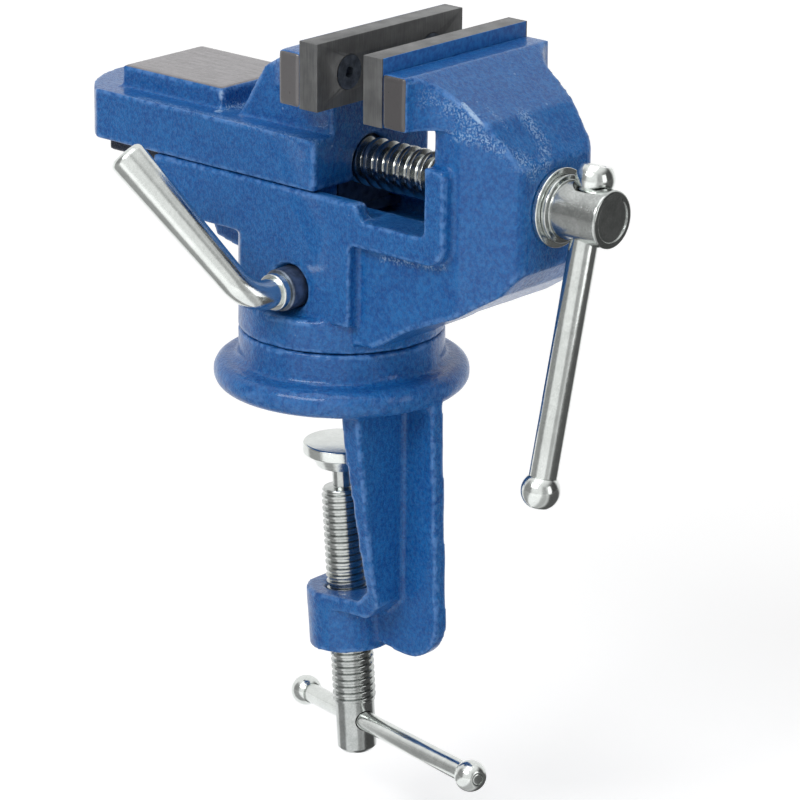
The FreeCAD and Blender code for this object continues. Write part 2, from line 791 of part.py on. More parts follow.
def fixed_head():
    """The head of the fixed jaw, as wide as its plate and scooped back to the upright."""
    profile = prism("fixed_head_profile", "XZ", [
        (FIXED_BACK, "jaw_bottom"),
        ("slope_middle_x", "jaw_bottom"),
        ("slope_middle_x", "slope_middle_z"),
        ("jaw_back", "jaw_shoulder"),
        (FIXED_BACK, "jaw_shoulder"),
    ], centred("jaw_width"))
    head_box = box("fixed_head_box", (FIXED_BACK, "jaw_back + flare_length"), centred("jaw_width"),
                   ("jaw_bottom", "jaw_shoulder"))
    flares = flare_tools("fixed_flare", "jaw_back", HALF_SIDE, "flare_length")
    return cut("fixed_head", common("fixed_head_solid", profile, head_box), *flares)


def body_cavities():
    """The channel, slot and cavity for the sliding jaw, and the bores of the body."""
    open_end = "deck_left - overlap"
    axis = ("0", "screw_height")
    lock = ("lock_x", "lock_height")
    return [
        box("guide_channel", (open_end, "window_left_bottom"), centred("body_width - 2 * channel_wall"),
            ("window_floor", "deck_top + overlap")),
        box("guide_slot", (open_end, "window_right"), centred("slot_width"),
            (f"{LIP_BOTTOM} - overlap", "window_floor + window_round")),
        box("keeper_cavity", (open_end, "window_right"), centred("cavity_width"),
            (f"{LIP_BOTTOM} - cavity_height", LIP_BOTTOM)),
        cylinder("spigot_bore", "Z", "spigot_radius + swivel_clearance",
                 ("neck_top", "spigot_top + swivel_gap")),
        cylinder("journal_bore", "X", "journal_radius + journal_clearance",
                 ("window_right - overlap", "nose_face + overlap"), axis),
        cylinder("lock_bore", "Y", "lock_bolt_radius + thread_clearance",
                 ("-body_width / 2 - overlap", "-spigot_radius / 2"), lock),
        cylinder("lock_mouth", "Y", "lock_mouth_radius",
                 ("-body_width / 2 - overlap", "-body_width / 2 + lock_mouth_depth"), lock),
    ]


def swivel_body():
    solid = fuse("body_solid", deck_and_rim(), *drum(), gusset(), upright(), fixed_head())
    holes = plate_screw_holes("fixed_jaw_hole", "plate_front", 1)
    sub_part("swivel_body", cut("swivel_body", solid, *body_cavities(), *holes))


# ---------------------------------------------------------------------------
# Jaw plates and their screws
# ---------------------------------------------------------------------------

PLATE_SCREW_PLACES = {"near": "-plate_screw_spacing / 2", "far": "plate_screw_spacing / 2"}


def inward_ends(front, inward, depth):
    """The ends, low first, of a stretch that goes in from a plate's front face."""
    return (front, f"{front} + ({depth})") if inward > 0 else (f"{front} - ({depth})", front)


def inward_radii(inward, at_front, inside):
    return (at_front, inside) if inward > 0 else (inside, at_front)


def plate_screw_holes(name, front, inward):
    """The tapped holes behind a jaw plate."""
    ends = inward_ends(front, inward, "plate_screw_length + screw_hole_clearance")
    return [cylinder(f"{name}_{side}", "X", "plate_screw_radius + thread_play", ends,
                     (place, PLATE_SCREW_Z)) for side, place in PLATE_SCREW_PLACES.items()]


def jaw_plate(label, front, inward):
    """A plain hardened plate with two countersunk holes."""
    ends = inward_ends(front, inward, "plate_thickness")
    plate = box(f"{label}_blank", ends, centred("jaw_width"), ("jaw_bottom", "plate_top"))
    hole_radius = "plate_screw_radius + screw_hole_clearance"
    sink_radius = "plate_screw_head_radius + screw_hole_clearance"
    sink_ends = inward_ends(front, inward, "plate_screw_head_radius - plate_screw_radius")
    sink_radii = inward_radii(inward, sink_radius, hole_radius)
    holes = []
    for side, place in PLATE_SCREW_PLACES.items():
        across = (place, PLATE_SCREW_Z)
        holes.append(cylinder(f"{label}_hole_{side}", "X", hole_radius, ends, across))
        holes.append(cone(f"{label}_sink_{side}", "X", sink_radii, sink_ends, across))
    sub_part(label, cut(label, plate, *holes))


def plate_screws(label, front, inward):
    """Two countersunk screws with hexagon sockets, flush with a plate's front face."""
    head_ends = inward_ends(front, inward, "plate_screw_head_radius - plate_screw_radius")
    head_radii = inward_radii(inward, "plate_screw_head_radius", "plate_screw_radius")
    shank_ends = inward_ends(front, inward, "plate_screw_length")
    socket_ends = inward_ends(front, inward, "hex_socket_depth")
    screws = []
    for side, place in PLATE_SCREW_PLACES.items():
        across = (place, PLATE_SCREW_Z)
        name = f"{label}_{side}"
        head = cone(f"{name}_head", "X", head_radii, head_ends, across)
        shank = cylinder(f"{name}_shank", "X", "plate_screw_radius", shank_ends, across)
        socket = hexagon(f"{name}_socket", "X", "hex_socket_width", socket_ends, across)
        screws.append(cut(name, fuse(f"{name}_solid", head, shank), socket))
    sub_part(label, group(label, *screws))


# ---------------------------------------------------------------------------
# Sliding jaw with its nut, keeper and keeper screws
# ---------------------------------------------------------------------------

KEEPER_SCREW_PLACES = ("keeper_screw_first", "keeper_screw_second")


def behind(distance):
    """A place on X that lies that far behind the front of the sliding jaw's head."""
    return f"({HEAD_FRONT} - ({distance}))"


def slider_block():
    """The guided block, its round tail and the anvil on top."""
    straight = box("block_straight", (behind("tail_centre"), HEAD_FRONT), centred("body_width"),
                   (BLOCK_BOTTOM, "block_top"))
    tail_round = cylinder("tail_round", "Z", "tail_radius", (BLOCK_BOTTOM, "block_top"),
                          (behind("tail_centre"), "0"))
    tail_box = box("tail_box", (behind("tail_centre + tail_radius"), behind("tail_centre")),
                   centred("body_width"), (BLOCK_BOTTOM, "block_top"))
    anvil = box("anvil", (behind("anvil_front + anvil_length"), behind("anvil_front")),
                centred("anvil_width"), ("block_top - overlap", "anvil_top"))
    return [straight, common("tail", tail_round, tail_box), anvil]


def slider_head():
    """The sloping web and the wide head of the sliding jaw."""
    slope = [
        (HEAD_FRONT, "block_top - overlap"),
        (HEAD_FRONT, "moving_shoulder"),
        (behind("moving_head_depth"), "moving_shoulder"),
        (behind("web_crest"), "web_crest_height"),
        (behind("web_foot"), "block_top"),
        (behind("web_foot"), "block_top - overlap"),
    ]
    web = prism("moving_web", "XZ", slope, centred("web_width"))
    wide = prism("moving_head_profile", "XZ", slope, centred("jaw_width"))
    flare_end = behind("moving_head_depth + moving_flare_length")
    head_box = box("moving_head_box", (flare_end, HEAD_FRONT), centred("jaw_width"),
                   ("jaw_bottom", "moving_shoulder"))
    flares = flare_tools("moving_flare", behind("moving_head_depth"), "web_width / 2",
                         "-moving_flare_length")
    return [web, cut("moving_head", common("moving_head_solid", wide, head_box), *flares)]


def slider_guides():
    """The tongue in the deck's channel and the leg block that reaches down through the slot."""
    tongue = box("tongue", (behind("tongue_length"), behind("front_wall")),
                 centred("body_width - 2 * channel_wall - 2 * slide_clearance"),
                 ("deck_top - tongue_depth", f"{BLOCK_BOTTOM} + overlap"))
    leg = box("leg_block", (behind("leg_length"), behind("front_wall")),
              centred("slot_width - 2 * slide_clearance"), (KEEPER_TOP, f"{BLOCK_BOTTOM} + overlap"))
    return [tongue, leg]


def slider_cavities():
    """The channel for the main screw, the nut's pocket and the tapped holes for the keeper."""
    channel_end = behind("screw_channel_length")
    wall_inside = behind("front_wall")
    below_keeper_top = f"{KEEPER_TOP} - overlap"
    channel = box("screw_channel", (channel_end, wall_inside), centred("screw_channel_width"),
                  ("screw_channel_floor", "screw_channel_top"))
    channel_mouth = box("screw_channel_mouth", (channel_end, behind("leg_length")),
                        centred("screw_channel_width"), (KEEPER_TOP, "screw_height"))
    bore = cylinder("front_bore", "X", "front_bore_radius",
                    (behind("front_wall + overlap"), f"{HEAD_FRONT} + overlap"), ("0", "screw_height"))
    pocket = box("nut_pocket", (behind("front_wall + nut_length + nut_clearance"), wall_inside),
                 centred("nut_width + 2 * nut_clearance"),
                 (below_keeper_top, "nut_top + nut_clearance"))
    hole_top = f"{KEEPER_BOTTOM} + keeper_screw_length + screw_hole_clearance"
    cavities = [channel, channel_mouth, bore, pocket]
    for place in KEEPER_SCREW_PLACES:
        cavities.append(cylinder(f"keeper_tapping_{place}", "Z", "keeper_screw_radius + thread_play",
                                 (below_keeper_top, hole_top), (behind(place), "0")))
    return cavities


def sliding_jaw():
    solid = fuse("slider_solid", *slider_block(), *slider_head(), *slider_guides())
    holes = plate_screw_holes("moving_jaw_hole", MOVING_FRONT, -1)
    sub_part("sliding_jaw", cut("sliding_jaw", solid, *slider_cavities(), *holes))


def slide_nut():
    """The square nut that the main screw drives, standing on the keeper."""
    block = box("nut_block", (behind("front_wall + nut_length"), behind("front_wall + nut_clearance")),
                centred("nut_width"), (f"{KEEPER_TOP} + nut_clearance", "nut_top"))
    bore = cylinder("nut_bore", "X", "screw_radius + thread_clearance",
                    (behind("front_wall + nut_length + overlap"), HEAD_FRONT), ("0", "screw_height"))
    sub_part("slide_nut", cut("slide_nut", block, bore))


def slide_keeper():
    """The plate under the guide lips that holds the sliding jaw down."""
    ends = (KEEPER_BOTTOM, KEEPER_TOP)
    plate = box("keeper_blank", (behind("leg_length"), behind("front_wall")),
                centred("keeper_width"), ends)
    head_depth = "keeper_screw_head_radius - keeper_screw_radius"
    hole_radius = "keeper_screw_radius + screw_hole_clearance"
    sink_radius = "keeper_screw_head_radius + screw_hole_clearance"
    holes = []
    for place in KEEPER_SCREW_PLACES:
        across = (behind(place), "0")
        holes.append(cylinder(f"keeper_hole_{place}", "Z", hole_radius, ends, across))
        holes.append(cone(f"keeper_sink_{place}", "Z", (sink_radius, hole_radius),
                          (KEEPER_BOTTOM, f"{KEEPER_BOTTOM} + {head_depth}"), across))
    sub_part("slide_keeper", cut("slide_keeper", plate, *holes))


def keeper_screws():
    """Two countersunk screws, flush with the underside of the keeper."""
    head_top = f"{KEEPER_BOTTOM} + keeper_screw_head_radius - keeper_screw_radius"
    screws = []
    for place in KEEPER_SCREW_PLACES:
        across = (behind(place), "0")
        name = f"{place}_fastener"
        head = cone(f"{name}_head", "Z", ("keeper_screw_head_radius", "keeper_screw_radius"),
                    (KEEPER_BOTTOM, head_top), across)
        shank = cylinder(f"{name}_shank", "Z", "keeper_screw_radius",
                         (KEEPER_BOTTOM, f"{KEEPER_BOTTOM} + keeper_screw_length"), across)
        socket = hexagon(f"{name}_socket", "Z", "hex_socket_width",
                         (KEEPER_BOTTOM, f"{KEEPER_BOTTOM} + hex_socket_depth"), across)
        screws.append(cut(name, fuse(f"{name}_solid", head, shank), socket))
    sub_part("keeper_screws", group("keeper_screws", *screws))


# ---------------------------------------------------------------------------
# Main screw with its washer, collar and pin
# ---------------------------------------------------------------------------

def pin_shape(name, radius, reach):
    """An upright cylinder through the middle of the collar and the screw."""
    return cylinder(name, "Z", radius, (f"screw_height - ({reach})", f"screw_height + ({reach})"),
                    (f"({COLLAR_LEFT} + {COLLAR_RIGHT}) / 2", "0"))


def main_screw():
    axis = ("0", "screw_height")
    bevel_start = f"{HEAD_RIGHT} - head_chamfer"
    rod = threaded_rod("main_thread", size("screw_radius"), size("screw_thread_depth"),
                       size("screw_pitch"), size("screw_run_out") - size("screw_left"))
    stand(rod, "X", "screw_left", axis)
    solid = fuse(
        "main_screw_solid",
        rod,
        cylinder("journal", "X", "journal_radius", ("screw_run_out", HEAD_LEFT), axis),
        cylinder("screw_flange", "X", "screw_flange_radius",
                 (f"{WASHER_RIGHT} + running_gap", HEAD_LEFT), axis),
        cylinder("screw_head", "X", "head_radius", (HEAD_LEFT, bevel_start), axis),
        cone("screw_head_bevel", "X", ("head_radius", "head_radius - head_chamfer"),
             (bevel_start, HEAD_RIGHT), axis),
    )
    recess = cylinder("head_recess", "X", "head_recess_radius",
                      (f"{HEAD_RIGHT} - head_recess_depth", f"{HEAD_RIGHT} + overlap"), axis)
    handle_hole = cylinder("handle_hole", "Z", "handle_radius + bar_clearance",
                           centred("head_radius * 4"))
    ball_seat = cylinder("ball_seat", "Z", "handle_ball_radius + handle_seat_clearance",
                         ("handle_short - handle_ball_seat - running_gap", "head_radius * 2"))
    hole_and_seat = fuse("handle_hole_and_seat", handle_hole, ball_seat)
    leaning_holes = in_frame(group("handle_holes_leaning", hole_and_seat), HANDLE_FRAME)
    pin_hole = pin_shape("screw_pin_hole", "collar_pin_radius + press_clearance", "collar_radius")
    sub_part("main_screw", cut("main_screw", solid, recess, leaning_holes, pin_hole))


def thrust_washer():
    axis = ("0", "screw_height")
    ends = (WASHER_LEFT, WASHER_RIGHT)
    disc = cylinder("washer_disc", "X", "washer_radius", ends, axis)
    hole = cylinder("washer_hole", "X", "journal_radius + journal_clearance", ends, axis)
    sub_part("thrust_washer", cut("thrust_washer", disc, hole))


def retaining_collar():
    """The collar that keeps the screw in the upright, and the pin through both."""
    axis = ("0", "screw_height")
    ends = (COLLAR_LEFT, COLLAR_RIGHT)
    ring = cylinder("collar_ring", "X", "collar_radius", ends, axis)
    bore = cylinder("collar_bore", "X", "journal_radius + press_clearance", ends, axis)
    hole = pin_shape("collar_pin_hole", "collar_pin_radius + press_clearance",
                     "collar_radius + overlap")
    sub_part("retaining_collar", cut("retaining_collar", ring, bore, hole))
    pin_reach = "collar_radius - collar_pin_inset"
    sub_part("collar_pin", pin_shape("collar_pin", "collar_pin_radius", pin_reach))


# ---------------------------------------------------------------------------
# Swivel lock: shoe, bolt, ring and bent lever
# ---------------------------------------------------------------------------

def lock_shoe():
    """The flat disc that the bolt presses into the groove of the spigot."""
    sub_part("lock_shoe", cylinder("lock_shoe", "Y", "lock_bolt_radius - thread_clearance / 2",
                                   (SHOE_OUTER, SHOE_INNER), ("lock_x", "lock_height")))


def lock_bolt():
    lock = ("lock_x", "lock_height")
    bolt = cylinder("bolt_barrel", "Y", "lock_bolt_radius",
                    (BOLT_OUTER, f"{SHOE_OUTER} - running_gap"), lock)
    socket = cylinder("bolt_socket", "Y", "lever_radius + press_clearance",
                      (f"{BOLT_OUTER} - overlap", f"{BOLT_OUTER} + lever_socket_depth"), lock)
    sub_part("lock_bolt", cut("lock_bolt", bolt, socket))


def lever_ring():
    lock = ("lock_x", "lock_height")
    ends = (f"{BOLT_OUTER} - lock_ring_length", BOLT_OUTER)
    ring = cylinder("ring_disc", "Y", "lock_ring_radius", ends, lock)
    hole = cylinder("ring_hole", "Y", "lever_radius + press_clearance", ends, lock)
    sub_part("lever_ring", cut("lever_ring", ring, hole))


# A torus stands in the lever's bend after this turn, and its arm after the other.
ELBOW_FLIP = "rotation(vector(1; 0; -1); 180)"
ARM_TURN = "rotation(vector(1; 0; 0); 90 - lever_bend_angle)"


def lock_lever():
    """A round rod bent once, whose arm swells towards its tip.

    The frame's origin is where the middle lines of its legs meet.
    """
    tangent = "(lever_elbow_round * tan(lever_bend_angle / 2))"
    shank = cylinder("lever_shank", "Y", "lever_radius",
                     (tangent, f"{BOLT_OUTER} + lever_socket_depth - {ELBOW_Y}"))
    elbow = DOCUMENT.addObject("Part::Torus", "lever_elbow_bend")
    bind(elbow, Radius1="lever_elbow_round", Radius2="lever_radius", Angle3="lever_bend_angle")
    in_frame(elbow, f"placement(vector(0; {tangent}; lever_elbow_round); {ELBOW_FLIP})")
    rod = cone("lever_arm_rod", "Z", ("lever_radius", "lever_tip_radius"),
               (tangent, "lever_arm_length"))
    tip = round_edges("lever_arm_tip", rod, "lever_end_round",
                      lambda edge: lies_at(edge, z=size("lever_arm_length")))
    arm = in_frame(group("lever_arm", tip), f"placement(vector(0; 0; 0); {ARM_TURN})")
    sub_part("lock_lever", in_frame(fuse("lock_lever", shank, elbow, arm), LEVER_FRAME))


# ---------------------------------------------------------------------------
# The whole vise
# ---------------------------------------------------------------------------

clamp_frame()
clamp_pad()
clamp_screw()
sliding_bar("clamp_bar", "clamp_bar", "-clamp_bar_short", "clamp_bar_long",
            ("clamp_bar_end_short", "clamp_bar_end_long"), "clamp_bar_ball_tip", CLAMP_BAR_FRAME)
swivel_body()
jaw_plate("fixed_jaw_plate", "plate_front", 1)
plate_screws("fixed_plate_screws", "plate_front", 1)
sliding_jaw()
jaw_plate("moving_jaw_plate", MOVING_FRONT, -1)
plate_screws("moving_plate_screws", MOVING_FRONT, -1)
slide_nut()
slide_keeper()
keeper_screws()
main_screw()
thrust_washer()
retaining_collar()
sliding_bar("main_handle", "handle", "-handle_long", "handle_short",
            ("handle_end_lower", "handle_end_upper"), "handle_knob_tip", HANDLE_FRAME)
lock_shoe()
lock_bolt()
lever_ring()
lock_lever()

DOCUMENT.recompute()
for item in DOCUMENT.Objects:
    if {"Invalid", "Error"} & set(item.State):
        raise RuntimeError(f"{item.Name} did not recompute: {item.State}")
for item in SUB_PARTS:
    if item.Shape.isNull() or not item.Shape.isValid() or item.Shape.Volume <= 0:
        raise RuntimeError(f"{item.Label} has no valid solid")

os.makedirs("parts", exist_ok=True)
for item in SUB_PARTS:
    item.Shape.exportStep(f"parts/{item.Label}.step")
    print(f"{item.Label:24} {len(item.Shape.Solids)} solid(s) {item.Shape.Volume:10.1f} mm3")
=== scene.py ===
"""The looks of a swivel table vise: painted castings, ground jaws and plated screws."""

import math
from collections import namedtuple

import bmesh
import bpy
import numpy as np
from mathutils import Matrix, Vector, noise


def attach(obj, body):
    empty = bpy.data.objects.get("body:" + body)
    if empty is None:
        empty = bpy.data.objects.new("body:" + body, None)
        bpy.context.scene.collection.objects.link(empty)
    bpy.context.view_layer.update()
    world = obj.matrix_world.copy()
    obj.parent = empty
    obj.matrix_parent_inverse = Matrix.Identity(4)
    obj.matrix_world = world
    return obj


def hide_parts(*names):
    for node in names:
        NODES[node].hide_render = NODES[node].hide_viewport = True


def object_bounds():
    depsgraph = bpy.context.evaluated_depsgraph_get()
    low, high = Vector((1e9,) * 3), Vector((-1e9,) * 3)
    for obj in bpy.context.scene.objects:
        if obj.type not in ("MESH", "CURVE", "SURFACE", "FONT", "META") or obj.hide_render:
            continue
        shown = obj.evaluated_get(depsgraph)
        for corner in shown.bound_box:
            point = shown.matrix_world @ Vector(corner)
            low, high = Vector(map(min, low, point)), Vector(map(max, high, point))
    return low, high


MM = 0.001

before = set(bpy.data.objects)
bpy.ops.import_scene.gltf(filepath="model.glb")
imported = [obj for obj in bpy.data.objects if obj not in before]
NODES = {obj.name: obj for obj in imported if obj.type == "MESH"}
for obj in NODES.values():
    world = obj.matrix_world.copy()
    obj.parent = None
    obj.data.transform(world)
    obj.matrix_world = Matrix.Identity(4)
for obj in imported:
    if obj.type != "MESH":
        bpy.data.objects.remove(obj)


def corners(box):
    """A box as plain lists of numbers."""
    return [[float(value) for value in corner] for corner in box]


CAD_BOX = corners(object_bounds())

# ---------------------------------------------------------------------------
# Camera, lights and floor
# ---------------------------------------------------------------------------

# the photograph's viewpoint: degrees, and millimetres from the frame's origin
VIEW_AZIMUTH = 41.29
VIEW_ELEVATION = 18.816
VIEW_ROLL = 0.55
VIEW_DISTANCE = 1152.136
VIEW_ASIDE = 16.59
VIEW_RAISE = -5.477
FOCAL_PIXELS = 4050.43
PICTURE_PIXELS = 800
SENSOR = 36.0
NEAREST_SEEN = 0.01


def direction_from(azimuth, elevation):
    """The direction that a view or light comes from: azimuth 0 is the front, -Y."""
    return Vector((math.sin(azimuth) * math.cos(elevation),
                   -math.cos(azimuth) * math.cos(elevation),
                   math.sin(elevation)))


def make_camera():
    """The camera at the photograph's viewpoint."""
    azimuth = math.radians(VIEW_AZIMUTH)
    roll = math.radians(VIEW_ROLL)
    back = direction_from(azimuth, math.radians(VIEW_ELEVATION))
    level_right = Vector((math.cos(azimuth), math.sin(azimuth), 0))
    level_up = back.cross(level_right)
    right = math.cos(roll) * level_right + math.sin(roll) * level_up
    up = math.cos(roll) * level_up - math.sin(roll) * level_right
    place = (back * VIEW_DISTANCE + right * VIEW_ASIDE + up * VIEW_RAISE) * MM
    data = bpy.data.cameras.new("photo_camera")
    data.sensor_width = SENSOR
    data.lens = FOCAL_PIXELS / PICTURE_PIXELS * SENSOR
    data.clip_start = NEAREST_SEEN
    camera = bpy.data.objects.new("photo_camera", data)
    bpy.context.scene.collection.objects.link(camera)
    camera.matrix_world = Matrix.Translation(place) @ Matrix((right, up, back)).transposed().to_4x4()
    bpy.context.scene.camera = camera


LIGHT_TARGET = Vector((0.0, 0.0, 0.02))


def area_light(name, azimuth, elevation, distance, size, watts):
    """A soft box that looks at the vise from a direction in degrees; its sizes are in metres."""
    data = bpy.data.lights.new(name, "AREA")
    data.shape = "RECTANGLE"
    data.size = size[0]
    data.size_y = size[1]
    data.energy = watts
    light = bpy.data.objects.new(name, data)
    bpy.context.scene.collection.objects.link(light)
    back = direction_from(math.radians(azimuth), math.radians(elevation))
    light.location = LIGHT_TARGET + back * distance
    light.rotation_euler = back.to_track_quat("Z", "Y").to_euler()


WHITE = (1.0, 1.0, 1.0, 1.0)


class Nodes:
    """Short ways to add nodes to a node tree."""

    def __init__(self, tree):
        self.tree = tree

    def node(self, kind, **settings):
        item = self.tree.nodes.new(kind)
        for name, value in settings.items():
            setattr(item, name, value)
        return item

    def join(self, source, target):
        self.tree.links.new(source, target)

    def feed(self, socket, value):
        """Link an output to a socket, or set a plain number on it."""
        if isinstance(value, bpy.types.NodeSocket):
            self.join(value, socket)
        else:
            socket.default_value = value

    def math(self, operation, first, second=0.0, clamp=False):
        item = self.node("ShaderNodeMath", operation=operation, use_clamp=clamp)
        self.feed(item.inputs[0], first)
        self.feed(item.inputs[1], second)
        return item.outputs[0]

    def times(self, *values):
        """The product of several values."""
        product = values[0]
        for value in values[1:]:
            product = self.math("MULTIPLY", product, value)
        return product

    def less(self, value):
        """1 less a value."""
        return self.math("SUBTRACT", 1.0, value)

    def ramp(self, value, low, high, to_low=0.0, to_high=1.0):
        """A value mapped smoothly from one range to another."""
        item = self.node("ShaderNodeMapRange", interpolation_type="SMOOTHSTEP")
        self.feed(item.inputs["Value"], value)
        item.inputs["From Min"].default_value = low
        item.inputs["From Max"].default_value = high
        self.feed(item.inputs["To Min"], to_low)
        self.feed(item.inputs["To Max"], to_high)
        return item.outputs["Result"]

    def between(self, share, first, second):
        """A number between two, by share."""
        item = self.node("ShaderNodeMix", data_type="FLOAT")
        self.feed(item.inputs[0], share)
        self.feed(item.inputs[2], first)
        self.feed(item.inputs[3], second)
        return item.outputs[0]

    def mix(self, share, first, second):
        """A colour between two, by share."""
        item = self.node("ShaderNodeMix", data_type="RGBA")
        self.feed(item.inputs["Factor"], share)
        self.feed(item.inputs[6], first)
        self.feed(item.inputs[7], second)
        return item.outputs[2]

    def parts(self, vector):
        """The X, Y and Z of a vector."""
        item = self.node("ShaderNodeSeparateXYZ")
        self.join(vector, item.inputs[0])
        return item.outputs


WORLD_LIGHT = 0.42
FLOOR_COLOUR = (0.9, 0.9, 0.9, 1.0)
FLOOR_REACH = 3.0
FLOOR_ROUGHNESS = 0.9
FLOOR_SHEEN = 0.1
# away from the lamps the floor glows more, so that it stays as white
FLOOR_GLOW = 0.38
FAR_FLOOR_GLOW = 0.68
GLOW_START = 0.3
GLOW_END = 1.6
# how far the clamp's bar goes down as the clamp opens, with a little room
CLAMP_OPENING = 0.031
# dark stands in the white studio, which only reflections show: azimuth, half width and
# soft edge in degrees, and darkness
ROOM_SHADES = (
    (-44.0, 20.0, 14.0, 0.68),
    (64.0, 8.0, 12.0, 0.55),
    (122.0, 28.0, 22.0, 0.92),
)
STAND_COLOUR = (0.02, 0.02, 0.02, 1.0)
# the stands fade out between these heights of a direction
STAND_TOP = (0.5, 0.85)


def room_brightness(nodes, direction):
    """How bright the studio looks from the vise in one direction, from 0 to 1."""
    x, y, z = nodes.parts(direction)
    azimuth = nodes.math("ARCTAN2", x, nodes.times(y, -1.0))
    below_top = nodes.ramp(z, *STAND_TOP, 1.0, 0.0)
    brightness = 1.0
    for middle, half_width, edge, darkness in ROOM_SHADES:
        aside = nodes.math("ABSOLUTE", nodes.math("SUBTRACT", azimuth, math.radians(middle)))
        stand = nodes.ramp(aside, math.radians(half_width), math.radians(half_width + edge), darkness, 0.0)
        brightness = nodes.times(brightness, nodes.less(nodes.times(stand, below_top)))
    return brightness


def backdrop_rays(nodes):
    """Two shares: 1 for a ray from the camera, and 1 for a ray off metal or through glass."""
    path = nodes.node("ShaderNodeLightPath").outputs
    return path["Is Camera Ray"], nodes.math("MAXIMUM", path["Is Glossy Ray"], path["Is Transmission Ray"])


def make_world():
    """A white backdrop that lights the vise softly."""
    world = bpy.data.worlds.new("studio")
    world.use_nodes = True
    nodes = Nodes(world.node_tree)
    background = nodes.tree.nodes["Background"]
    background.inputs["Color"].default_value = WHITE
    camera, gloss = backdrop_rays(nodes)
    direction = nodes.node("ShaderNodeTexCoord").outputs["Generated"]
    strength = nodes.between(camera, WORLD_LIGHT, 1.0)
    strength = nodes.between(gloss, strength, room_brightness(nodes, direction))
    nodes.join(strength, background.inputs["Strength"])
    bpy.context.scene.world = world
    bpy.context.scene.view_settings.view_transform = "Standard"


def make_floor():
    """A wide pale floor that keeps the vise's shadow, low enough for the open clamp."""
    floor_z = CAD_BOX[0][2] - CLAMP_OPENING
    mesh = bpy.data.meshes.new("floor")
    around = ((-1, -1), (1, -1), (1, 1), (-1, 1))
    mesh.from_pydata([(x * FLOOR_REACH, y * FLOOR_REACH, floor_z) for x, y in around], [], [(0, 1, 2, 3)])
    floor = bpy.data.objects.new("floor", mesh)
    bpy.context.scene.collection.objects.link(floor)
    material = bpy.data.materials.new("floor_white")
    material.use_nodes = True
    nodes = Nodes(material.node_tree)
    shader = nodes.tree.nodes["Principled BSDF"]
    shader.inputs["Roughness"].default_value = FLOOR_ROUGHNESS
    shader.inputs["Specular IOR Level"].default_value = FLOOR_SHEEN
    shader.inputs["Emission Color"].default_value = WHITE
    camera, gloss = backdrop_rays(nodes)
    place = nodes.node("ShaderNodeTexCoord").outputs["Object"]
    room = room_brightness(nodes, place)
    darkened = nodes.times(gloss, nodes.less(room))
    nodes.join(nodes.mix(darkened, FLOOR_COLOUR, STAND_COLOUR), shader.inputs["Base Color"])
    seen = nodes.math("MAXIMUM", camera, nodes.times(gloss, room))
    away = nodes.node("ShaderNodeVectorMath", operation="LENGTH")
    nodes.join(place, away.inputs[0])
    glow = nodes.ramp(away.outputs["Value"], GLOW_START, GLOW_END, FLOOR_GLOW, FAR_FLOOR_GLOW)
    nodes.join(nodes.times(seen, glow), shader.inputs["Emission Strength"])
    mesh.materials.append(material)


# ---------------------------------------------------------------------------
# Materials
# ---------------------------------------------------------------------------

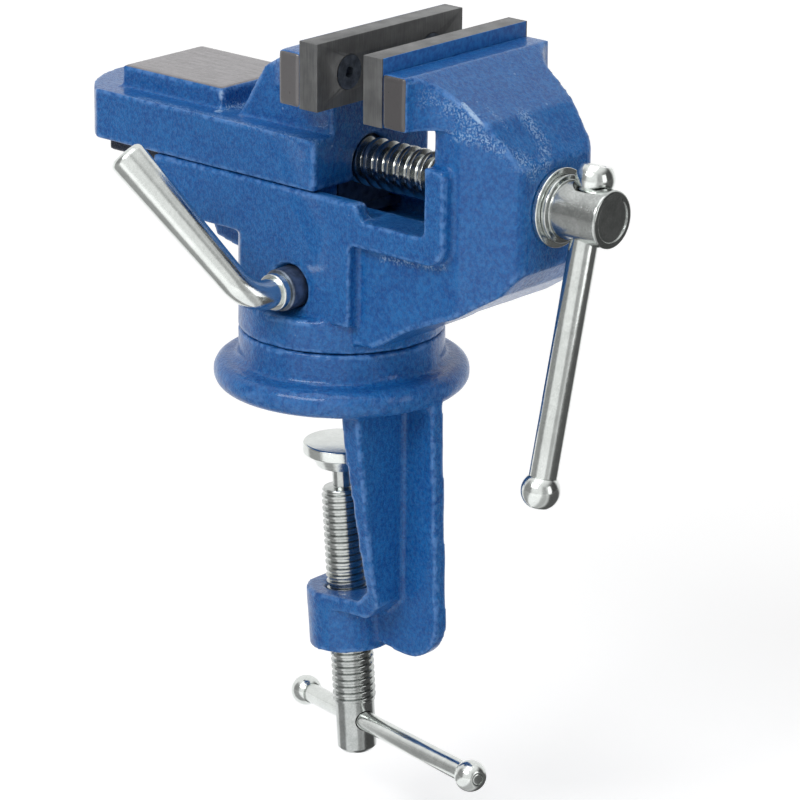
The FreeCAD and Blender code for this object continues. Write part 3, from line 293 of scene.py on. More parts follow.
class Surface(Nodes):
    """A new material with short ways to add nodes to its Principled shader."""

    def __init__(self, name):
        self.material = bpy.data.materials.new(name)
        self.material.use_nodes = True
        super().__init__(self.material.node_tree)
        self.shader = self.tree.nodes["Principled BSDF"]
        self.place = self.node("ShaderNodeTexCoord").outputs["Object"]

    def axes(self):
        """The place along the screw, its distance from the middle plane, and its height."""
        x, y, z = self.parts(self.place)
        return x, self.math("ABSOLUTE", y), z

    def rises(self, value, band):
        """0 below a band in millimetres and 1 above it."""
        low, high = band
        return self.ramp(value, low * MM, high * MM)

    def falls(self, value, band):
        """1 below a band in millimetres and 0 above it."""
        low, high = band
        return self.ramp(value, low * MM, high * MM, 1.0, 0.0)

    def noise(self, grain, detail=3.0, roughness=0.5, place=None):
        """Noise whose grain is a size in millimetres."""
        item = self.node("ShaderNodeTexNoise")
        item.inputs["Scale"].default_value = 1.0 / (grain * MM)
        item.inputs["Detail"].default_value = detail
        item.inputs["Roughness"].default_value = roughness
        self.join(place or self.place, item.inputs["Vector"])
        return item.outputs["Fac"]

    def cells(self, grain):
        """Distance to the nearest of scattered points, a grain apart in millimetres."""
        item = self.node("ShaderNodeTexVoronoi")
        item.inputs["Scale"].default_value = 1.0 / (grain * MM)
        self.join(self.place, item.inputs["Vector"])
        return item.outputs["Distance"]

    def stretched(self, scale):
        """The place squeezed along each axis by a factor, which draws noise out the other way."""
        item = self.node("ShaderNodeMapping")
        item.inputs["Scale"].default_value = scale
        self.join(self.place, item.inputs["Vector"])
        return item.outputs["Vector"]

    def attribute(self, name):
        item = self.node("ShaderNodeAttribute", attribute_name=name)
        return item.outputs["Fac"]

    def near_line(self, start, end, width):
        """1 on the line between two points in millimetres, falling to 0 at a width from it."""
        start, end = Vector(start) * MM, Vector(end) * MM
        run = end - start
        offset = self.node("ShaderNodeVectorMath", operation="SUBTRACT")
        self.join(self.place, offset.inputs[0])
        offset.inputs[1].default_value = start
        along = self.node("ShaderNodeVectorMath", operation="DOT_PRODUCT")
        self.join(offset.outputs["Vector"], along.inputs[0])
        along.inputs[1].default_value = run / run.length_squared
        share = self.math("ADD", along.outputs["Value"], clamp=True)
        foot = self.node("ShaderNodeVectorMath", operation="SCALE")
        foot.inputs[0].default_value = run
        self.join(share, foot.inputs["Scale"])
        apart = self.node("ShaderNodeVectorMath", operation="DISTANCE")
        self.join(offset.outputs["Vector"], apart.inputs[0])
        self.join(foot.outputs["Vector"], apart.inputs[1])
        return self.falls(apart.outputs["Value"], (0.0, width))

    def bump(self, height, depth):
        """Raise the surface by a height whose full swing is a depth in millimetres."""
        item = self.node("ShaderNodeBump")
        item.inputs["Strength"].default_value = 1.0
        item.inputs["Distance"].default_value = depth * MM
        self.join(height, item.inputs["Height"])
        self.join(item.outputs["Normal"], self.shader.inputs["Normal"])

    def set(self, **values):
        for name, value in values.items():
            self.feed(self.shader.inputs[name.replace("_", " ")], value)


def colour(red, green, blue):
    """A colour given as it looks on screen, from 0 to 255, in the renderer's own units."""
    def linear(value):
        value /= 255.0
        return value / 12.92 if value <= 0.04045 else ((value + 0.055) / 1.055) ** 2.4
    return (linear(red), linear(green), linear(blue), 1.0)


PAINT_DEEP = colour(6, 75, 146)
PAINT_BRIGHT = colour(30, 109, 178)
# pale edges: partly wear, partly painted highlight
EDGE_WEAR_AND_HIGHLIGHT = colour(92, 142, 205)
# light flecks and specks on the paint are painted glints
GLINT_FLECK = colour(146, 180, 220)
# painted highlight along edges, over rubbed paint
RUB_AND_HIGHLIGHT = colour(160, 190, 226)
# the guide under the sliding jaw's tail is coloured near black
DARK_GUIDE_COLOUR = colour(20, 32, 54)
BARE_IRON = colour(140, 136, 139)
BARE_IRON_DARK = colour(112, 109, 111)
# the same bare iron on both jaw ends: lighter on the sliding jaw, darker on the head as painted shade
LIT_SLIDER_END_IRON = colour(110, 108, 109)
SHADED_HEAD_END_IRON = colour(91, 89, 90)
GROUND_DARK = colour(88, 89, 90)
GROUND_LIGHT = colour(114, 115, 115)
OILED_DARK = colour(84, 92, 104)
OILED_LIGHT = colour(124, 134, 148)
PLATING_DARK = colour(208, 212, 209)
PLATING_LIGHT = colour(227, 231, 228)
# a darker copy of the plating for the screws, which paints shade on them
SHADED_PLATING_DARK = colour(166, 170, 168)
SHADED_PLATING_LIGHT = colour(200, 203, 201)

# the heights and widths, in millimetres, over which a finish comes in or fades out
ANVIL_FACE = (82.85, 83.05)
ABOVE_ANVIL = (83.6, 83.8)
ANVIL_BACK = (-28.0, -27.0)
JAW_ENDS = (29.45, 29.58)
JAW_UNDERSIDE = (86.5, 87.0)
BETWEEN_JAWS = (25.05, 27.05)
DECK_LEFT = (-51.1, -50.7)
GUIDE_TOP = (62.1, 62.3)
# the painted backs of the jaw plates lie this far from the middle between them
PLATES_MIDDLE = 26.05
PLATE_BACKS = (14.65, 14.8)

# how much of the light flecks, which are painted glints, shows near their lines and elsewhere; how strong
# the scattered specks of painted glint are; and how strong the pale edges are, which are partly wear and
# partly painted highlight
THICK_GLINT_FLECKS = 0.85
RARE_GLINT_FLECKS = 0.05
GLINT_SPECK_STRENGTH = 0.5
EDGE_WEAR_AND_HIGHLIGHT_STRENGTH = 0.62
# the depth of the paint's lumps in millimetres, how high the flecks stand on them, and how
# much of them is gone from bare iron
LUMP_DEPTH = 0.34
FLECK_HEIGHT = 0.25
BARE_FLATNESS = 0.85
BARE_METALLIC = 0.45

# where a painted highlight runs along an edge over rubbed paint: the width of the mark and its points, in
# millimetres
RUB_AND_HIGHLIGHT_LINES = (
    (1.1, ((60.3, -19.0, 95.6), (69.6, -19.1, 88.9), (73.8, -17.9, 84.0), (77.6, -17.4, 79.7))),
    (1.8, ((-31.0, -16.6, 81.4), (-30.6, -18.2, 77.2))),
)
# where light flecks, which are painted glints, lie thick on the paint
GLINT_FLECK_LINES = (
    (5.5, ((54.0, -25.5, 96.5), (59.5, -21.5, 93.0), (64.0, -19.0, 90.0))),
    (3.8, ((58.0, -21.5, 86.5), (65.0, -19.0, 87.5), (71.5, -17.0, 85.0))),
    (4.0, ((68.0, -3.0, 90.8), (73.6, -2.0, 84.3), (77.5, -5.0, 79.8))),
    (1.3, ((62.0, -13.2, 94.5), (69.7, -11.9, 88.8))),
    (5.0, ((75.5, -14.0, 82.5), (77.5, -10.0, 79.0))),
    (2.4, ((-58.0, -22.4, 77.0), (11.0, -22.4, 77.0))),
    (4.0, ((-30.0, -15.0, 77.0), (-27.0, -3.0, 77.5))),
    (1.8, ((33.0, -20.4, 47.5), (55.0, -20.4, 49.5))),
)


def upright_place(s):
    """The place squeezed in height, which draws the grain of the paint out upwards."""
    return s.stretched((1.0, 1.0, 0.85))


def painted(s):
    """Blue paint with a lumpy sheen: its colour, and the height of its lumps."""
    lumps = s.noise(1.15, detail=3.0, roughness=0.6, place=upright_place(s))
    pools = s.noise(8.0, detail=2.0)
    tone = s.math("ADD", s.ramp(lumps, 0.34, 0.66, 0.0, 0.75), s.ramp(pools, 0.3, 0.7, 0.0, 0.25))
    return s.mix(tone, PAINT_DEEP, PAINT_BRIGHT), lumps


def near_lines(s, lines):
    """1 on any of several bent lines, falling to 0 at each line's width."""
    share = 0.0
    for width, points in lines:
        for start, end in zip(points, points[1:]):
            share = s.math("MAXIMUM", s.near_line(start, end, width), share)
    return share


def machined(s):
    """Two shares: 1 on the anvil's bare top, and 1 on the bare ends of both jaws."""
    along, across, height = s.axes()
    anvil = s.times(s.rises(height, ANVIL_FACE), s.falls(height, ABOVE_ANVIL), s.falls(along, ANVIL_BACK))
    jaw_end = s.times(s.rises(across, JAW_ENDS), s.rises(height, JAW_UNDERSIDE))
    return anvil, jaw_end


def bare_iron(s, jaw_end):
    """Scoured iron on the anvil, and a plainer grey on the ends of the jaws, with painted shade making the
    head's end darker.
    """
    scoured = s.noise(1.6, detail=5.0, roughness=0.65, place=s.stretched((0.2, 1.0, 1.0)))
    anvil_iron = s.mix(s.ramp(scoured, 0.25, 0.8), BARE_IRON_DARK, BARE_IRON)
    along = s.axes()[0]
    end_iron = s.mix(s.rises(along, BETWEEN_JAWS), LIT_SLIDER_END_IRON, SHADED_HEAD_END_IRON)
    return s.mix(jaw_end, anvil_iron, end_iron)


def dark_guide(s):
    """1 on the dark guide that shows under the sliding jaw's tail."""
    along, _, height = s.axes()
    return s.times(s.falls(along, DECK_LEFT), s.falls(height, GUIDE_TOP))


def paint_with_wear_and_highlights(s, paint, glint_flecks):
    """The paint with its light flecks and specks of painted glint, its pale edges of wear and painted
    highlight, and its lines of painted highlight over rubbed paint.
    """
    patches = s.ramp(s.noise(3.0, detail=3.0), 0.3, 0.5)
    # light flecks, thick along their lines and rare elsewhere: painted glints
    thick = s.times(near_lines(s, GLINT_FLECK_LINES), patches, THICK_GLINT_FLECKS)
    with_glint_flecks = s.mix(s.times(glint_flecks, s.math("MAXIMUM", thick, RARE_GLINT_FLECKS)), paint, GLINT_FLECK)
    # scattered specks: painted glints
    glint_specks = s.ramp(s.cells(8.0), 0.03, 0.055, GLINT_SPECK_STRENGTH, 0.0)
    with_glint_specks = s.mix(glint_specks, with_glint_flecks, GLINT_FLECK)
    # paler outer edges, partly wear and partly painted highlight
    edge = s.ramp(s.attribute("outer_edge"), 0.3, 0.9, 0.0, EDGE_WEAR_AND_HIGHLIGHT_STRENGTH)
    edged = s.mix(s.times(edge, s.ramp(s.noise(2.2, detail=5.0), 0.4, 0.6)), with_glint_specks, EDGE_WEAR_AND_HIGHLIGHT)
    # lines of painted highlight along edges, over rubbed paint
    breaks = s.ramp(s.noise(0.8, detail=4.0, roughness=0.7), 0.32, 0.52)
    rub_and_highlight = s.times(s.ramp(near_lines(s, RUB_AND_HIGHLIGHT_LINES), 0.05, 0.6), breaks)
    return s.mix(rub_and_highlight, edged, RUB_AND_HIGHLIGHT)


def hammered_paint():
    """Glossy blue paint over a cast skin, bare where it is machined."""
    s = Surface("blue_hammered_paint_finish")
    paint, lumps = painted(s)
    # light flecks that stand as bumps and are painted pale as glints
    glint_flecks = s.ramp(s.noise(0.5, detail=2.0, place=upright_place(s)), 0.46, 0.62)
    anvil, jaw_end = machined(s)
    bare = s.math("MAXIMUM", anvil, jaw_end)
    covered = s.mix(dark_guide(s), paint_with_wear_and_highlights(s, paint, glint_flecks), DARK_GUIDE_COLOUR)
    s.set(Base_Color=s.mix(bare, covered, bare_iron(s, jaw_end)))
    s.set(Metallic=s.times(bare, BARE_METALLIC), Roughness=s.ramp(lumps, 0.2, 0.8, 0.42, 0.26))
    s.set(Specular_IOR_Level=0.16, Coat_Weight=0.45, Coat_Roughness=0.1)
    dents = s.math("ADD", lumps, s.times(glint_flecks, FLECK_HEIGHT))
    s.bump(s.times(dents, s.less(s.times(bare, BARE_FLATNESS))), LUMP_DEPTH)
    return s.material


def ground_steel():
    """The ground faces of the jaw plates, with fine lines and dull patches, and their painted backs."""
    s = Surface("jaw_steel_finish")
    lines = s.noise(0.35, detail=4.0, place=s.stretched((1.0, 1.0, 0.06)))
    patches = s.noise(6.0, detail=3.0)
    tone = s.math("ADD", s.times(lines, 0.4), s.times(patches, 0.6))
    steel = s.mix(s.ramp(tone, 0.3, 0.7), GROUND_DARK, GROUND_LIGHT)
    along, across, _ = s.axes()
    from_middle = s.math("ABSOLUTE", s.math("SUBTRACT", along, PLATES_MIDDLE * MM))
    back = s.times(s.rises(from_middle, PLATE_BACKS), s.falls(across, JAW_ENDS))
    s.set(Base_Color=s.mix(back, steel, painted(s)[0]))
    s.set(Metallic=s.ramp(back, 0.0, 1.0, 0.5, 0.0), Roughness=s.ramp(patches, 0.2, 0.8, 0.5, 0.38))
    s.bump(lines, 0.02)
    return s.material


def plated_steel(name, dark, light):
    """Plating between two tones, slightly uneven, with small scuffs."""
    s = Surface(name)
    clouds = s.noise(4.0, detail=4.0, roughness=0.6)
    scuffs = s.noise(0.5, detail=5.0, roughness=0.7)
    tone = s.math("ADD", s.ramp(clouds, 0.3, 0.7, 0.0, 0.6), s.ramp(scuffs, 0.35, 0.7, 0.0, 0.4))
    s.set(Base_Color=s.mix(tone, dark, light))
    s.set(Metallic=1.0, Roughness=s.ramp(scuffs, 0.3, 0.75, 0.14, 0.22))
    s.bump(s.math("ADD", clouds, s.times(scuffs, 0.3)), 0.03)
    return s.material


def oiled_steel():
    """Dark oiled steel with faint blotches and grit."""
    s = Surface("dark_steel_finish")
    blotches = s.noise(2.5, detail=4.0, roughness=0.6)
    grit = s.noise(0.4, detail=3.0)
    s.set(Base_Color=s.mix(s.ramp(blotches, 0.3, 0.7), OILED_DARK, OILED_LIGHT))
    s.set(Metallic=0.85, Roughness=s.ramp(grit, 0.3, 0.7, 0.28, 0.45))
    s.bump(grit, 0.02)
    return s.material


FINISH = {
    "blue_hammered_paint": hammered_paint(),
    "jaw_steel": ground_steel(),
    "bright_plated_steel": plated_steel("bright_plated_finish", PLATING_DARK, PLATING_LIGHT),
    "dark_steel": oiled_steel(),
}
# the screws get the darker copy of the plating, painted shade
SHADED_PLATING = plated_steel("shaded_plated_finish", SHADED_PLATING_DARK, SHADED_PLATING_LIGHT)


# ---------------------------------------------------------------------------
# Making and placing pieces
# ---------------------------------------------------------------------------

def new_piece(name, mesh):
    piece = bpy.data.objects.new(name, mesh)
    bpy.context.scene.collection.objects.link(piece)
    return piece


def apply_modifiers(piece):
    """Turn a piece's modifiers into its mesh."""
    graph = bpy.context.evaluated_depsgraph_get()
    graph.update()
    mesh = bpy.data.meshes.new_from_object(piece.evaluated_get(graph))
    piece.modifiers.clear()
    old = piece.data
    piece.data = mesh
    bpy.data.meshes.remove(old)


def finish_piece(piece, slot, body, *nodes, finish=None):
    """Give a piece its finish, its body and the CAD nodes that it stands for."""
    piece.data.materials.clear()
    piece.data.materials.append(finish or FINISH[slot])
    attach(piece, body)
    if nodes:
        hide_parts(*nodes)


SHARP_DEGREES = 38.0
PLATE_SHARP_DEGREES = 30.0
ROUND_STEPS = 5
# an arc takes up less than half of a side, so that two of them fit on it
SIDE_SHARE = 0.49
TURNED_SIDES = 72
# in metres: points that are made twice are this near, and an edge this short has no length
SAME_POINT = 1e-6
NO_LENGTH = 1e-7


def shade(piece, sharp_degrees=SHARP_DEGREES):
    """Smooth shading, but sharp over the real edges."""
    mesh = piece.data
    mesh.polygons.foreach_set("use_smooth", [True] * len(mesh.polygons))
    mesh.set_sharp_from_angle(angle=math.radians(sharp_degrees))
    mesh.update()


def frame_along(origin, axis):
    """A frame in metres whose Z axis is the given direction; the origin is in millimetres."""
    turn = Vector(axis).normalized().to_track_quat("Z", "Y").to_matrix().to_4x4()
    return Matrix.Translation(Vector(origin) * MM) @ turn


def rounded(outline):
    """A turned outline (radius, height, corner round) with its corners made into arcs."""
    points = []
    for index, (radius, height, bend) in enumerate(outline):
        here = Vector((radius, height))
        if bend <= 0 or index in (0, len(outline) - 1):
            points.append(here)
            continue
        before = Vector(outline[index - 1][:2]) - here
        after = Vector(outline[index + 1][:2]) - here
        half = before.angle(after) / 2
        reach = min(bend / math.tan(half), before.length * SIDE_SHARE, after.length * SIDE_SHARE)
        start, end = here + before.normalized() * reach, here + after.normalized() * reach
        for step in range(ROUND_STEPS + 1):
            t = step / ROUND_STEPS
            points.append((1 - t) ** 2 * start + 2 * t * (1 - t) * here + t ** 2 * end)
    return points


def add_rings(mesh, rings):
    """Skin a list of rings of points; a ring of one point closes an end."""
    made = [[mesh.verts.new(point) for point in points] for points in rings]
    for first, second in zip(made, made[1:]):
        count = max(len(first), len(second))
        for step in range(count):
            following = (step + 1) % count
            face = []
            for row, place in ((first, step), (first, following), (second, following), (second, step)):
                corner = row[place % len(row)]
                if corner not in face:
                    face.append(corner)
            if len(face) > 2:
                mesh.faces.new(face)


def ring(radius, height):
    """The points of one circle about Z, or its middle where the radius is nothing."""
    if radius == 0:
        return [Vector((0, 0, height)) * MM]
    points = []
    for step in range(TURNED_SIDES):
        angle = 2 * math.pi * step / TURNED_SIDES
        points.append(Vector((radius * math.cos(angle), radius * math.sin(angle), height)) * MM)
    return points


def add_turned(mesh, outline):
    """A turned solid from a closed outline that starts and ends on the axis."""
    add_rings(mesh, [ring(radius, height) for radius, height in rounded(outline)])


def add_turned_ring(mesh, outline):
    """A turned ring: the outline goes round and comes back to its start."""
    points = rounded(outline)
    add_rings(mesh, [ring(radius, height) for radius, height in points + points[:1]])
    bmesh.ops.remove_doubles(mesh, verts=mesh.verts, dist=NO_LENGTH)


# the profile of a thread as shares of its pitch: the ridge between two roots, and its flat crest
RIDGE_START = 0.2
CREST_START = 0.42
CREST_END = 0.7
RIDGE_END = 0.92
STEPS_A_TURN = 48
STEPS_A_PITCH = 18


def thread_height(share):
    """How far up its flank a thread is, from 0 at the root to 1 at the crest."""
    share %= 1.0
    if share < RIDGE_START or share > RIDGE_END:
        return 0.0
    if share < CREST_START:
        rise = (share - RIDGE_START) / (CREST_START - RIDGE_START)
    elif share > CREST_END:
        rise = (RIDGE_END - share) / (RIDGE_END - CREST_END)
    else:
        return 1.0
    return rise * rise * (3 - 2 * rise)


def add_thread(mesh, low, high, root, crest, pitch, runout):
    """A true helical thread from low to high about Z, fading out over its first and last turns."""
    turns = int(math.ceil((high - low) / pitch)) + 2
    columns = []
    for step in range(STEPS_A_TURN + 1):
        turn = step / STEPS_A_TURN
        angle = 2 * math.pi * turn
        column = []
        for row in range(turns * STEPS_A_PITCH + 1):
            height = low + (row / STEPS_A_PITCH + turn - 1.0) * pitch
            held = min(max(height, low), high)
            fade = min(1.0, (held - low) / runout, (high - held) / runout)
            radius = root + (crest - root) * thread_height(row / STEPS_A_PITCH) * max(fade, 0.0)
            place = Vector((radius * math.cos(angle), radius * math.sin(angle), held)) * MM
            column.append(mesh.verts.new(place))
        columns.append(column)
    for first, second in zip(columns, columns[1:]):
        for row in range(len(first) - 1):
            mesh.faces.new((first[row], second[row], second[row + 1], first[row + 1]))
    bmesh.ops.remove_doubles(mesh, verts=mesh.verts, dist=SAME_POINT)
    bmesh.ops.dissolve_degenerate(mesh, edges=mesh.edges, dist=NO_LENGTH)
    bmesh.ops.holes_fill(mesh, edges=mesh.edges, sides=0)


def mesh_from(name, *makers):
    """One mesh from several maker functions, each filling a mesh of its own."""
    whole = bpy.data.meshes.new(name)
    gathered = bmesh.new()
    for make in makers:
        part = bmesh.new()
        make(part)
        bmesh.ops.recalc_face_normals(part, faces=part.faces)
        single = bpy.data.meshes.new("part")
        part.to_mesh(single)
        part.free()
        gathered.from_mesh(single)
        bpy.data.meshes.remove(single)
    gathered.to_mesh(whole)
    gathered.free()
    return whole


def turned_piece(name, place, *makers):
    """A piece made about its own Z axis and put in a frame."""
    mesh = mesh_from(name, *makers)
    mesh.transform(place)
    piece = new_piece(name, mesh)
    shade(piece)
    return piece


def add_mesh(piece, name, place, *makers):
    """Join more shapes, made about Z and put in a frame, to a piece's mesh."""
    extra = mesh_from(name, *makers)
    extra.transform(place)
    gathered = bmesh.new()
    gathered.from_mesh(piece.data)
    gathered.from_mesh(extra)
    gathered.to_mesh(piece.data)
    gathered.free()
    bpy.data.meshes.remove(extra)
    shade(piece)


def drill(piece, place, radius, length):
    """Cut a round cross hole about a frame's Z axis through a piece."""
    drill_mesh = mesh_from("drill", lambda m: add_turned(m, [
        (0, -length / 2, 0), (radius, -length / 2, 0), (radius, length / 2, 0), (0, length / 2, 0)]))
    drill_mesh.transform(place)
    tool = new_piece("drill", drill_mesh)
    cutter = piece.modifiers.new("hole", "BOOLEAN")
    cutter.operation = "DIFFERENCE"
    cutter.solver = "EXACT"
    cutter.object = tool
    apply_modifiers(piece)
    bpy.data.objects.remove(tool)
    bpy.data.meshes.remove(drill_mesh)
    shade(piece)


# ---------------------------------------------------------------------------
# Castings
# ---------------------------------------------------------------------------

CAST_GRID = 0.7
CAST_SMOOTHING = 4
SMOOTHING_SHARE = 0.5
WAVE_HEIGHT = 0.09
WAVE_LENGTH = 6.0
# the faces that stay flat: the anvil's top by its height, and the ends of the jaws by their
# distance from the middle plane, in millimetres
FLAT_ANVIL = (82.9, 84.2)
FLAT_ENDS = 29.7
# a point that stands out by this share of the grid lies on a full edge, and its pale mark, partly wear and
# partly painted highlight, spreads
FULL_EDGE = 0.1
SPREADS = 3
SPREAD_SHARE = 0.6
EDGE_GAIN = 1.6


def vertex_values(mesh, name):
    """One vector a vertex, as rows."""
    values = np.empty(len(mesh.vertices) * 3, np.float32)
    mesh.vertices.foreach_get(name, values)
    return values.reshape(-1, 3).astype(float)


def edge_strength(mesh):
    """How much each point stands out from its neighbours, 0 on flats and 1 on outer edges."""
    count = len(mesh.vertices)
    points = vertex_values(mesh, "co")
    normals = vertex_values(mesh, "normal")
    pairs = np.empty(len(mesh.edges) * 2, np.int32)
    mesh.edges.foreach_get("vertices", pairs)
    first, second = pairs.reshape(-1, 2).T
    links = np.bincount(first, minlength=count) + np.bincount(second, minlength=count)

    def neighbour_mean(values):
        total = np.bincount(first, weights=values[second], minlength=count)
        total += np.bincount(second, weights=values[first], minlength=count)
        return total / np.maximum(links, 1)

    drawn_in = np.stack([neighbour_mean(points[:, axis]) for axis in range(3)], axis=1) - points
    strength = -np.einsum("ij,ij->i", drawn_in, normals) / (FULL_EDGE * CAST_GRID * MM)
    strength = np.clip(strength, 0, 1)
    for _ in range(SPREADS):
        strength += SPREAD_SHARE * (neighbour_mean(strength) - strength)
    return np.clip(strength * EDGE_GAIN, 0, 1)


def cast_skin(mesh):
    """Make the painted skin a little uneven, and leave the machined faces flat."""
    points = vertex_values(mesh, "co")
    normals = vertex_values(mesh, "normal")
    waves = np.array([noise.noise(Vector(point)) for point in (points / (WAVE_LENGTH * MM)).tolist()])
    height, across = points[:, 2] / MM, np.abs(points[:, 1]) / MM
    anvil = (height > FLAT_ANVIL[0]) & (height < FLAT_ANVIL[1])
    waves[anvil | (across > FLAT_ENDS)] = 0
    points += normals * waves[:, None] * WAVE_HEIGHT * MM
    mesh.vertices.foreach_set("co", points.astype(np.float32).ravel())
    mesh.update()


def casting(node, body):
    """A cast copy of a CAD node: its edges softened and its skin uneven."""
    mesh = NODES[node].data.copy()
    piece = new_piece(f"{node}_casting", mesh)
    grid = piece.modifiers.new("grid", "REMESH")
    grid.mode = "VOXEL"
    grid.voxel_size = CAST_GRID * MM
    soften = piece.modifiers.new("soften", "SMOOTH")
    soften.factor = SMOOTHING_SHARE
    soften.iterations = CAST_SMOOTHING
    apply_modifiers(piece)
    strength = edge_strength(piece.data)
    cast_skin(piece.data)
    edges = piece.data.attributes.new("outer_edge", "FLOAT", "POINT")
    edges.data.foreach_set("value", strength.astype(np.float32))
    piece.data.polygons.foreach_set("use_smooth", [True] * len(piece.data.polygons))
    finish_piece(piece, "blue_hammered_paint", body, node)


# ---------------------------------------------------------------------------
# Jaw plates
# ---------------------------------------------------------------------------

BROKEN_EDGE = 0.35


def jaw_plate(node, body):
    """A ground plate: the CAD node's shape with its sharp edges broken."""
    piece = new_piece(f"{node}_ground", NODES[node].data.copy())
    welded = bmesh.new()
    welded.from_mesh(piece.data)
    bmesh.ops.remove_doubles(welded, verts=welded.verts, dist=SAME_POINT)
    bmesh.ops.dissolve_limit(welded, angle_limit=math.radians(1), verts=welded.verts, edges=welded.edges)
    welded.to_mesh(piece.data)
    welded.free()
    bevel = piece.modifiers.new("broken_edge", "BEVEL")
    bevel.width = BROKEN_EDGE * MM
    bevel.segments = 3
    bevel.limit_method = "ANGLE"
    bevel.angle_limit = math.radians(60)
    apply_modifiers(piece)
    shade(piece, PLATE_SHARP_DEGREES)
    finish_piece(piece, "jaw_steel", body, node)


# ---------------------------------------------------------------------------
# Main screw, washer and handle
# ---------------------------------------------------------------------------

SCREW_HEIGHT = 66.8
SCREW_FRAME = frame_along((0, 0, SCREW_HEIGHT), (1, 0, 0))
HANDLE_AXIS = (0, 0.236838, 0.971549)
HANDLE_FRAME = frame_along((88.3, 0, SCREW_HEIGHT), HANDLE_AXIS)
# a bar that slides through a screw, with a ball on each end: low and high are the middles of the
# balls along its axis, seat and tips how far the flats of a ball lie from its middle
Bar = namedtuple("Bar", "place body radius tenon low high ball seat low_tip high_tip")
HANDLE_BAR = Bar(place=HANDLE_FRAME, body="vise_handle", radius=3.9, tenon=2.4, low=-75.4, high=9.6,
                 ball=5.4, seat=3.6, low_tip=4.7, high_tip=3.6)
BAR_CLEARANCE = 0.2
HANDLE_HOLE_LENGTH = 32.0
BALL_SEAT_RADIUS = 5.6
BALL_SEAT_START = 5.9
BALL_SEAT_LENGTH = 10.0
BALL_STEPS = 26


def main_screw():
    """The thread, the journal in the upright, the flange and the head with its cross hole."""
    head = [
        (0, 44.0, 0), (6.8, 44.0, 0.3), (6.8, 79.3, 0), (9.4, 79.3, 0.3), (9.4, 80.9, 0.5),
        (8.0, 80.9, 0.4), (8.0, 96.5, 0.9), (6.2, 96.5, 0.2), (6.2, 96.0, 0.2), (0, 96.0, 0),
    ]
    piece = turned_piece("main_screw_turned", SCREW_FRAME, lambda m: add_turned(m, head))
    drill(piece, HANDLE_FRAME, HANDLE_BAR.radius + BAR_CLEARANCE, HANDLE_HOLE_LENGTH)
    seat = HANDLE_FRAME @ Matrix.Translation((0, 0, (BALL_SEAT_START + BALL_SEAT_LENGTH / 2) * MM))
    drill(piece, seat, BALL_SEAT_RADIUS, BALL_SEAT_LENGTH)
    add_mesh(piece, "main_thread", SCREW_FRAME, lambda m: add_thread(
        m, low=-50.0, high=45.5, root=5.4, crest=7.0, pitch=4.0, runout=1.5))
    finish_piece(piece, "bright_plated_steel", "vise_screw", "main_screw", finish=SHADED_PLATING)


def thrust_washer():
    outline = [(7.1, 77.6, 0.2), (11.0, 77.6, 0.35), (11.0, 79.2, 0.35), (7.1, 79.2, 0.2)]
    piece = turned_piece("thrust_washer_turned", SCREW_FRAME, lambda m: add_turned_ring(m, outline))
    finish_piece(piece, "bright_plated_steel", "vise_screw", "thrust_washer")


def bar_rod(name, bar, node):
    """A plain round bar with the riveted tenons that carry its balls."""
    low_seat, high_seat = bar.low + bar.seat, bar.high - bar.seat
    low_end, high_end = bar.low - bar.low_tip, bar.high + bar.high_tip
    outline = [
        (0, low_end, 0), (bar.tenon, low_end, 0.5),
        (bar.tenon, low_seat, 0), (bar.radius, low_seat, 0.25),
        (bar.radius, high_seat, 0.25), (bar.tenon, high_seat, 0),
        (bar.tenon, high_end, 0.5), (0, high_end, 0),
    ]
    piece = turned_piece(name, bar.place, lambda m: add_turned(m, outline))
    finish_piece(piece, "bright_plated_steel", bar.body, node)


def bar_ball(name, bar, centre, outward, tip, node):
    """A ball with a flat at its seat and a small flat at its tip, on the tenon."""
    outline = [(bar.tenon, centre - outward * bar.seat, 0)]
    low, high = math.asin(-bar.seat / bar.ball), math.asin(tip / bar.ball)
    for step in range(BALL_STEPS + 1):
        angle = low + (high - low) * step / BALL_STEPS
        outline.append((bar.ball * math.cos(angle), centre + outward * bar.ball * math.sin(angle), 0))
    outline.append((bar.tenon, centre + outward * tip, 0))
    piece = turned_piece(name, bar.place, lambda m: add_turned_ring(m, outline))
    finish_piece(piece, "bright_plated_steel", bar.body, node)


def sliding_bar(name, bar, rod_node, low_node, high_node):
    """A bar with its two balls, each in place of its CAD node."""
    bar_rod(f"{name}_rod", bar, rod_node)
    bar_ball(f"{name}_low_ball", bar, bar.low, -1, bar.low_tip, low_node)
    bar_ball(f"{name}_high_ball", bar, bar.high, 1, bar.high_tip, high_node)


# ---------------------------------------------------------------------------
# Clamp screw, pad and bar
# ---------------------------------------------------------------------------

CLAMP_DOWN = (0.078459, 0, -0.996917)
BALL_CENTRE = (-0.0363, 0, -23.4)
CLAMP_FRAME = frame_along(BALL_CENTRE, CLAMP_DOWN)
CLAMP_BAR_AXIS = (0.95487, -0.28736, 0.07515)
CLAMP_BAR_FRAME = frame_along((6.115, 0, -101.558), CLAMP_BAR_AXIS)
CLAMP_BAR = Bar(place=CLAMP_BAR_FRAME, body="table_bar", radius=2.85, tenon=1.7, low=-28.3, high=61.9,
                ball=4.5, seat=3.3, low_tip=3.9, high_tip=3.9)
CLAMP_HOLE_LENGTH = 22.0
PIVOT_BALL = 4.2
PIVOT_NECK = 2.8
PIVOT_STEPS = 20


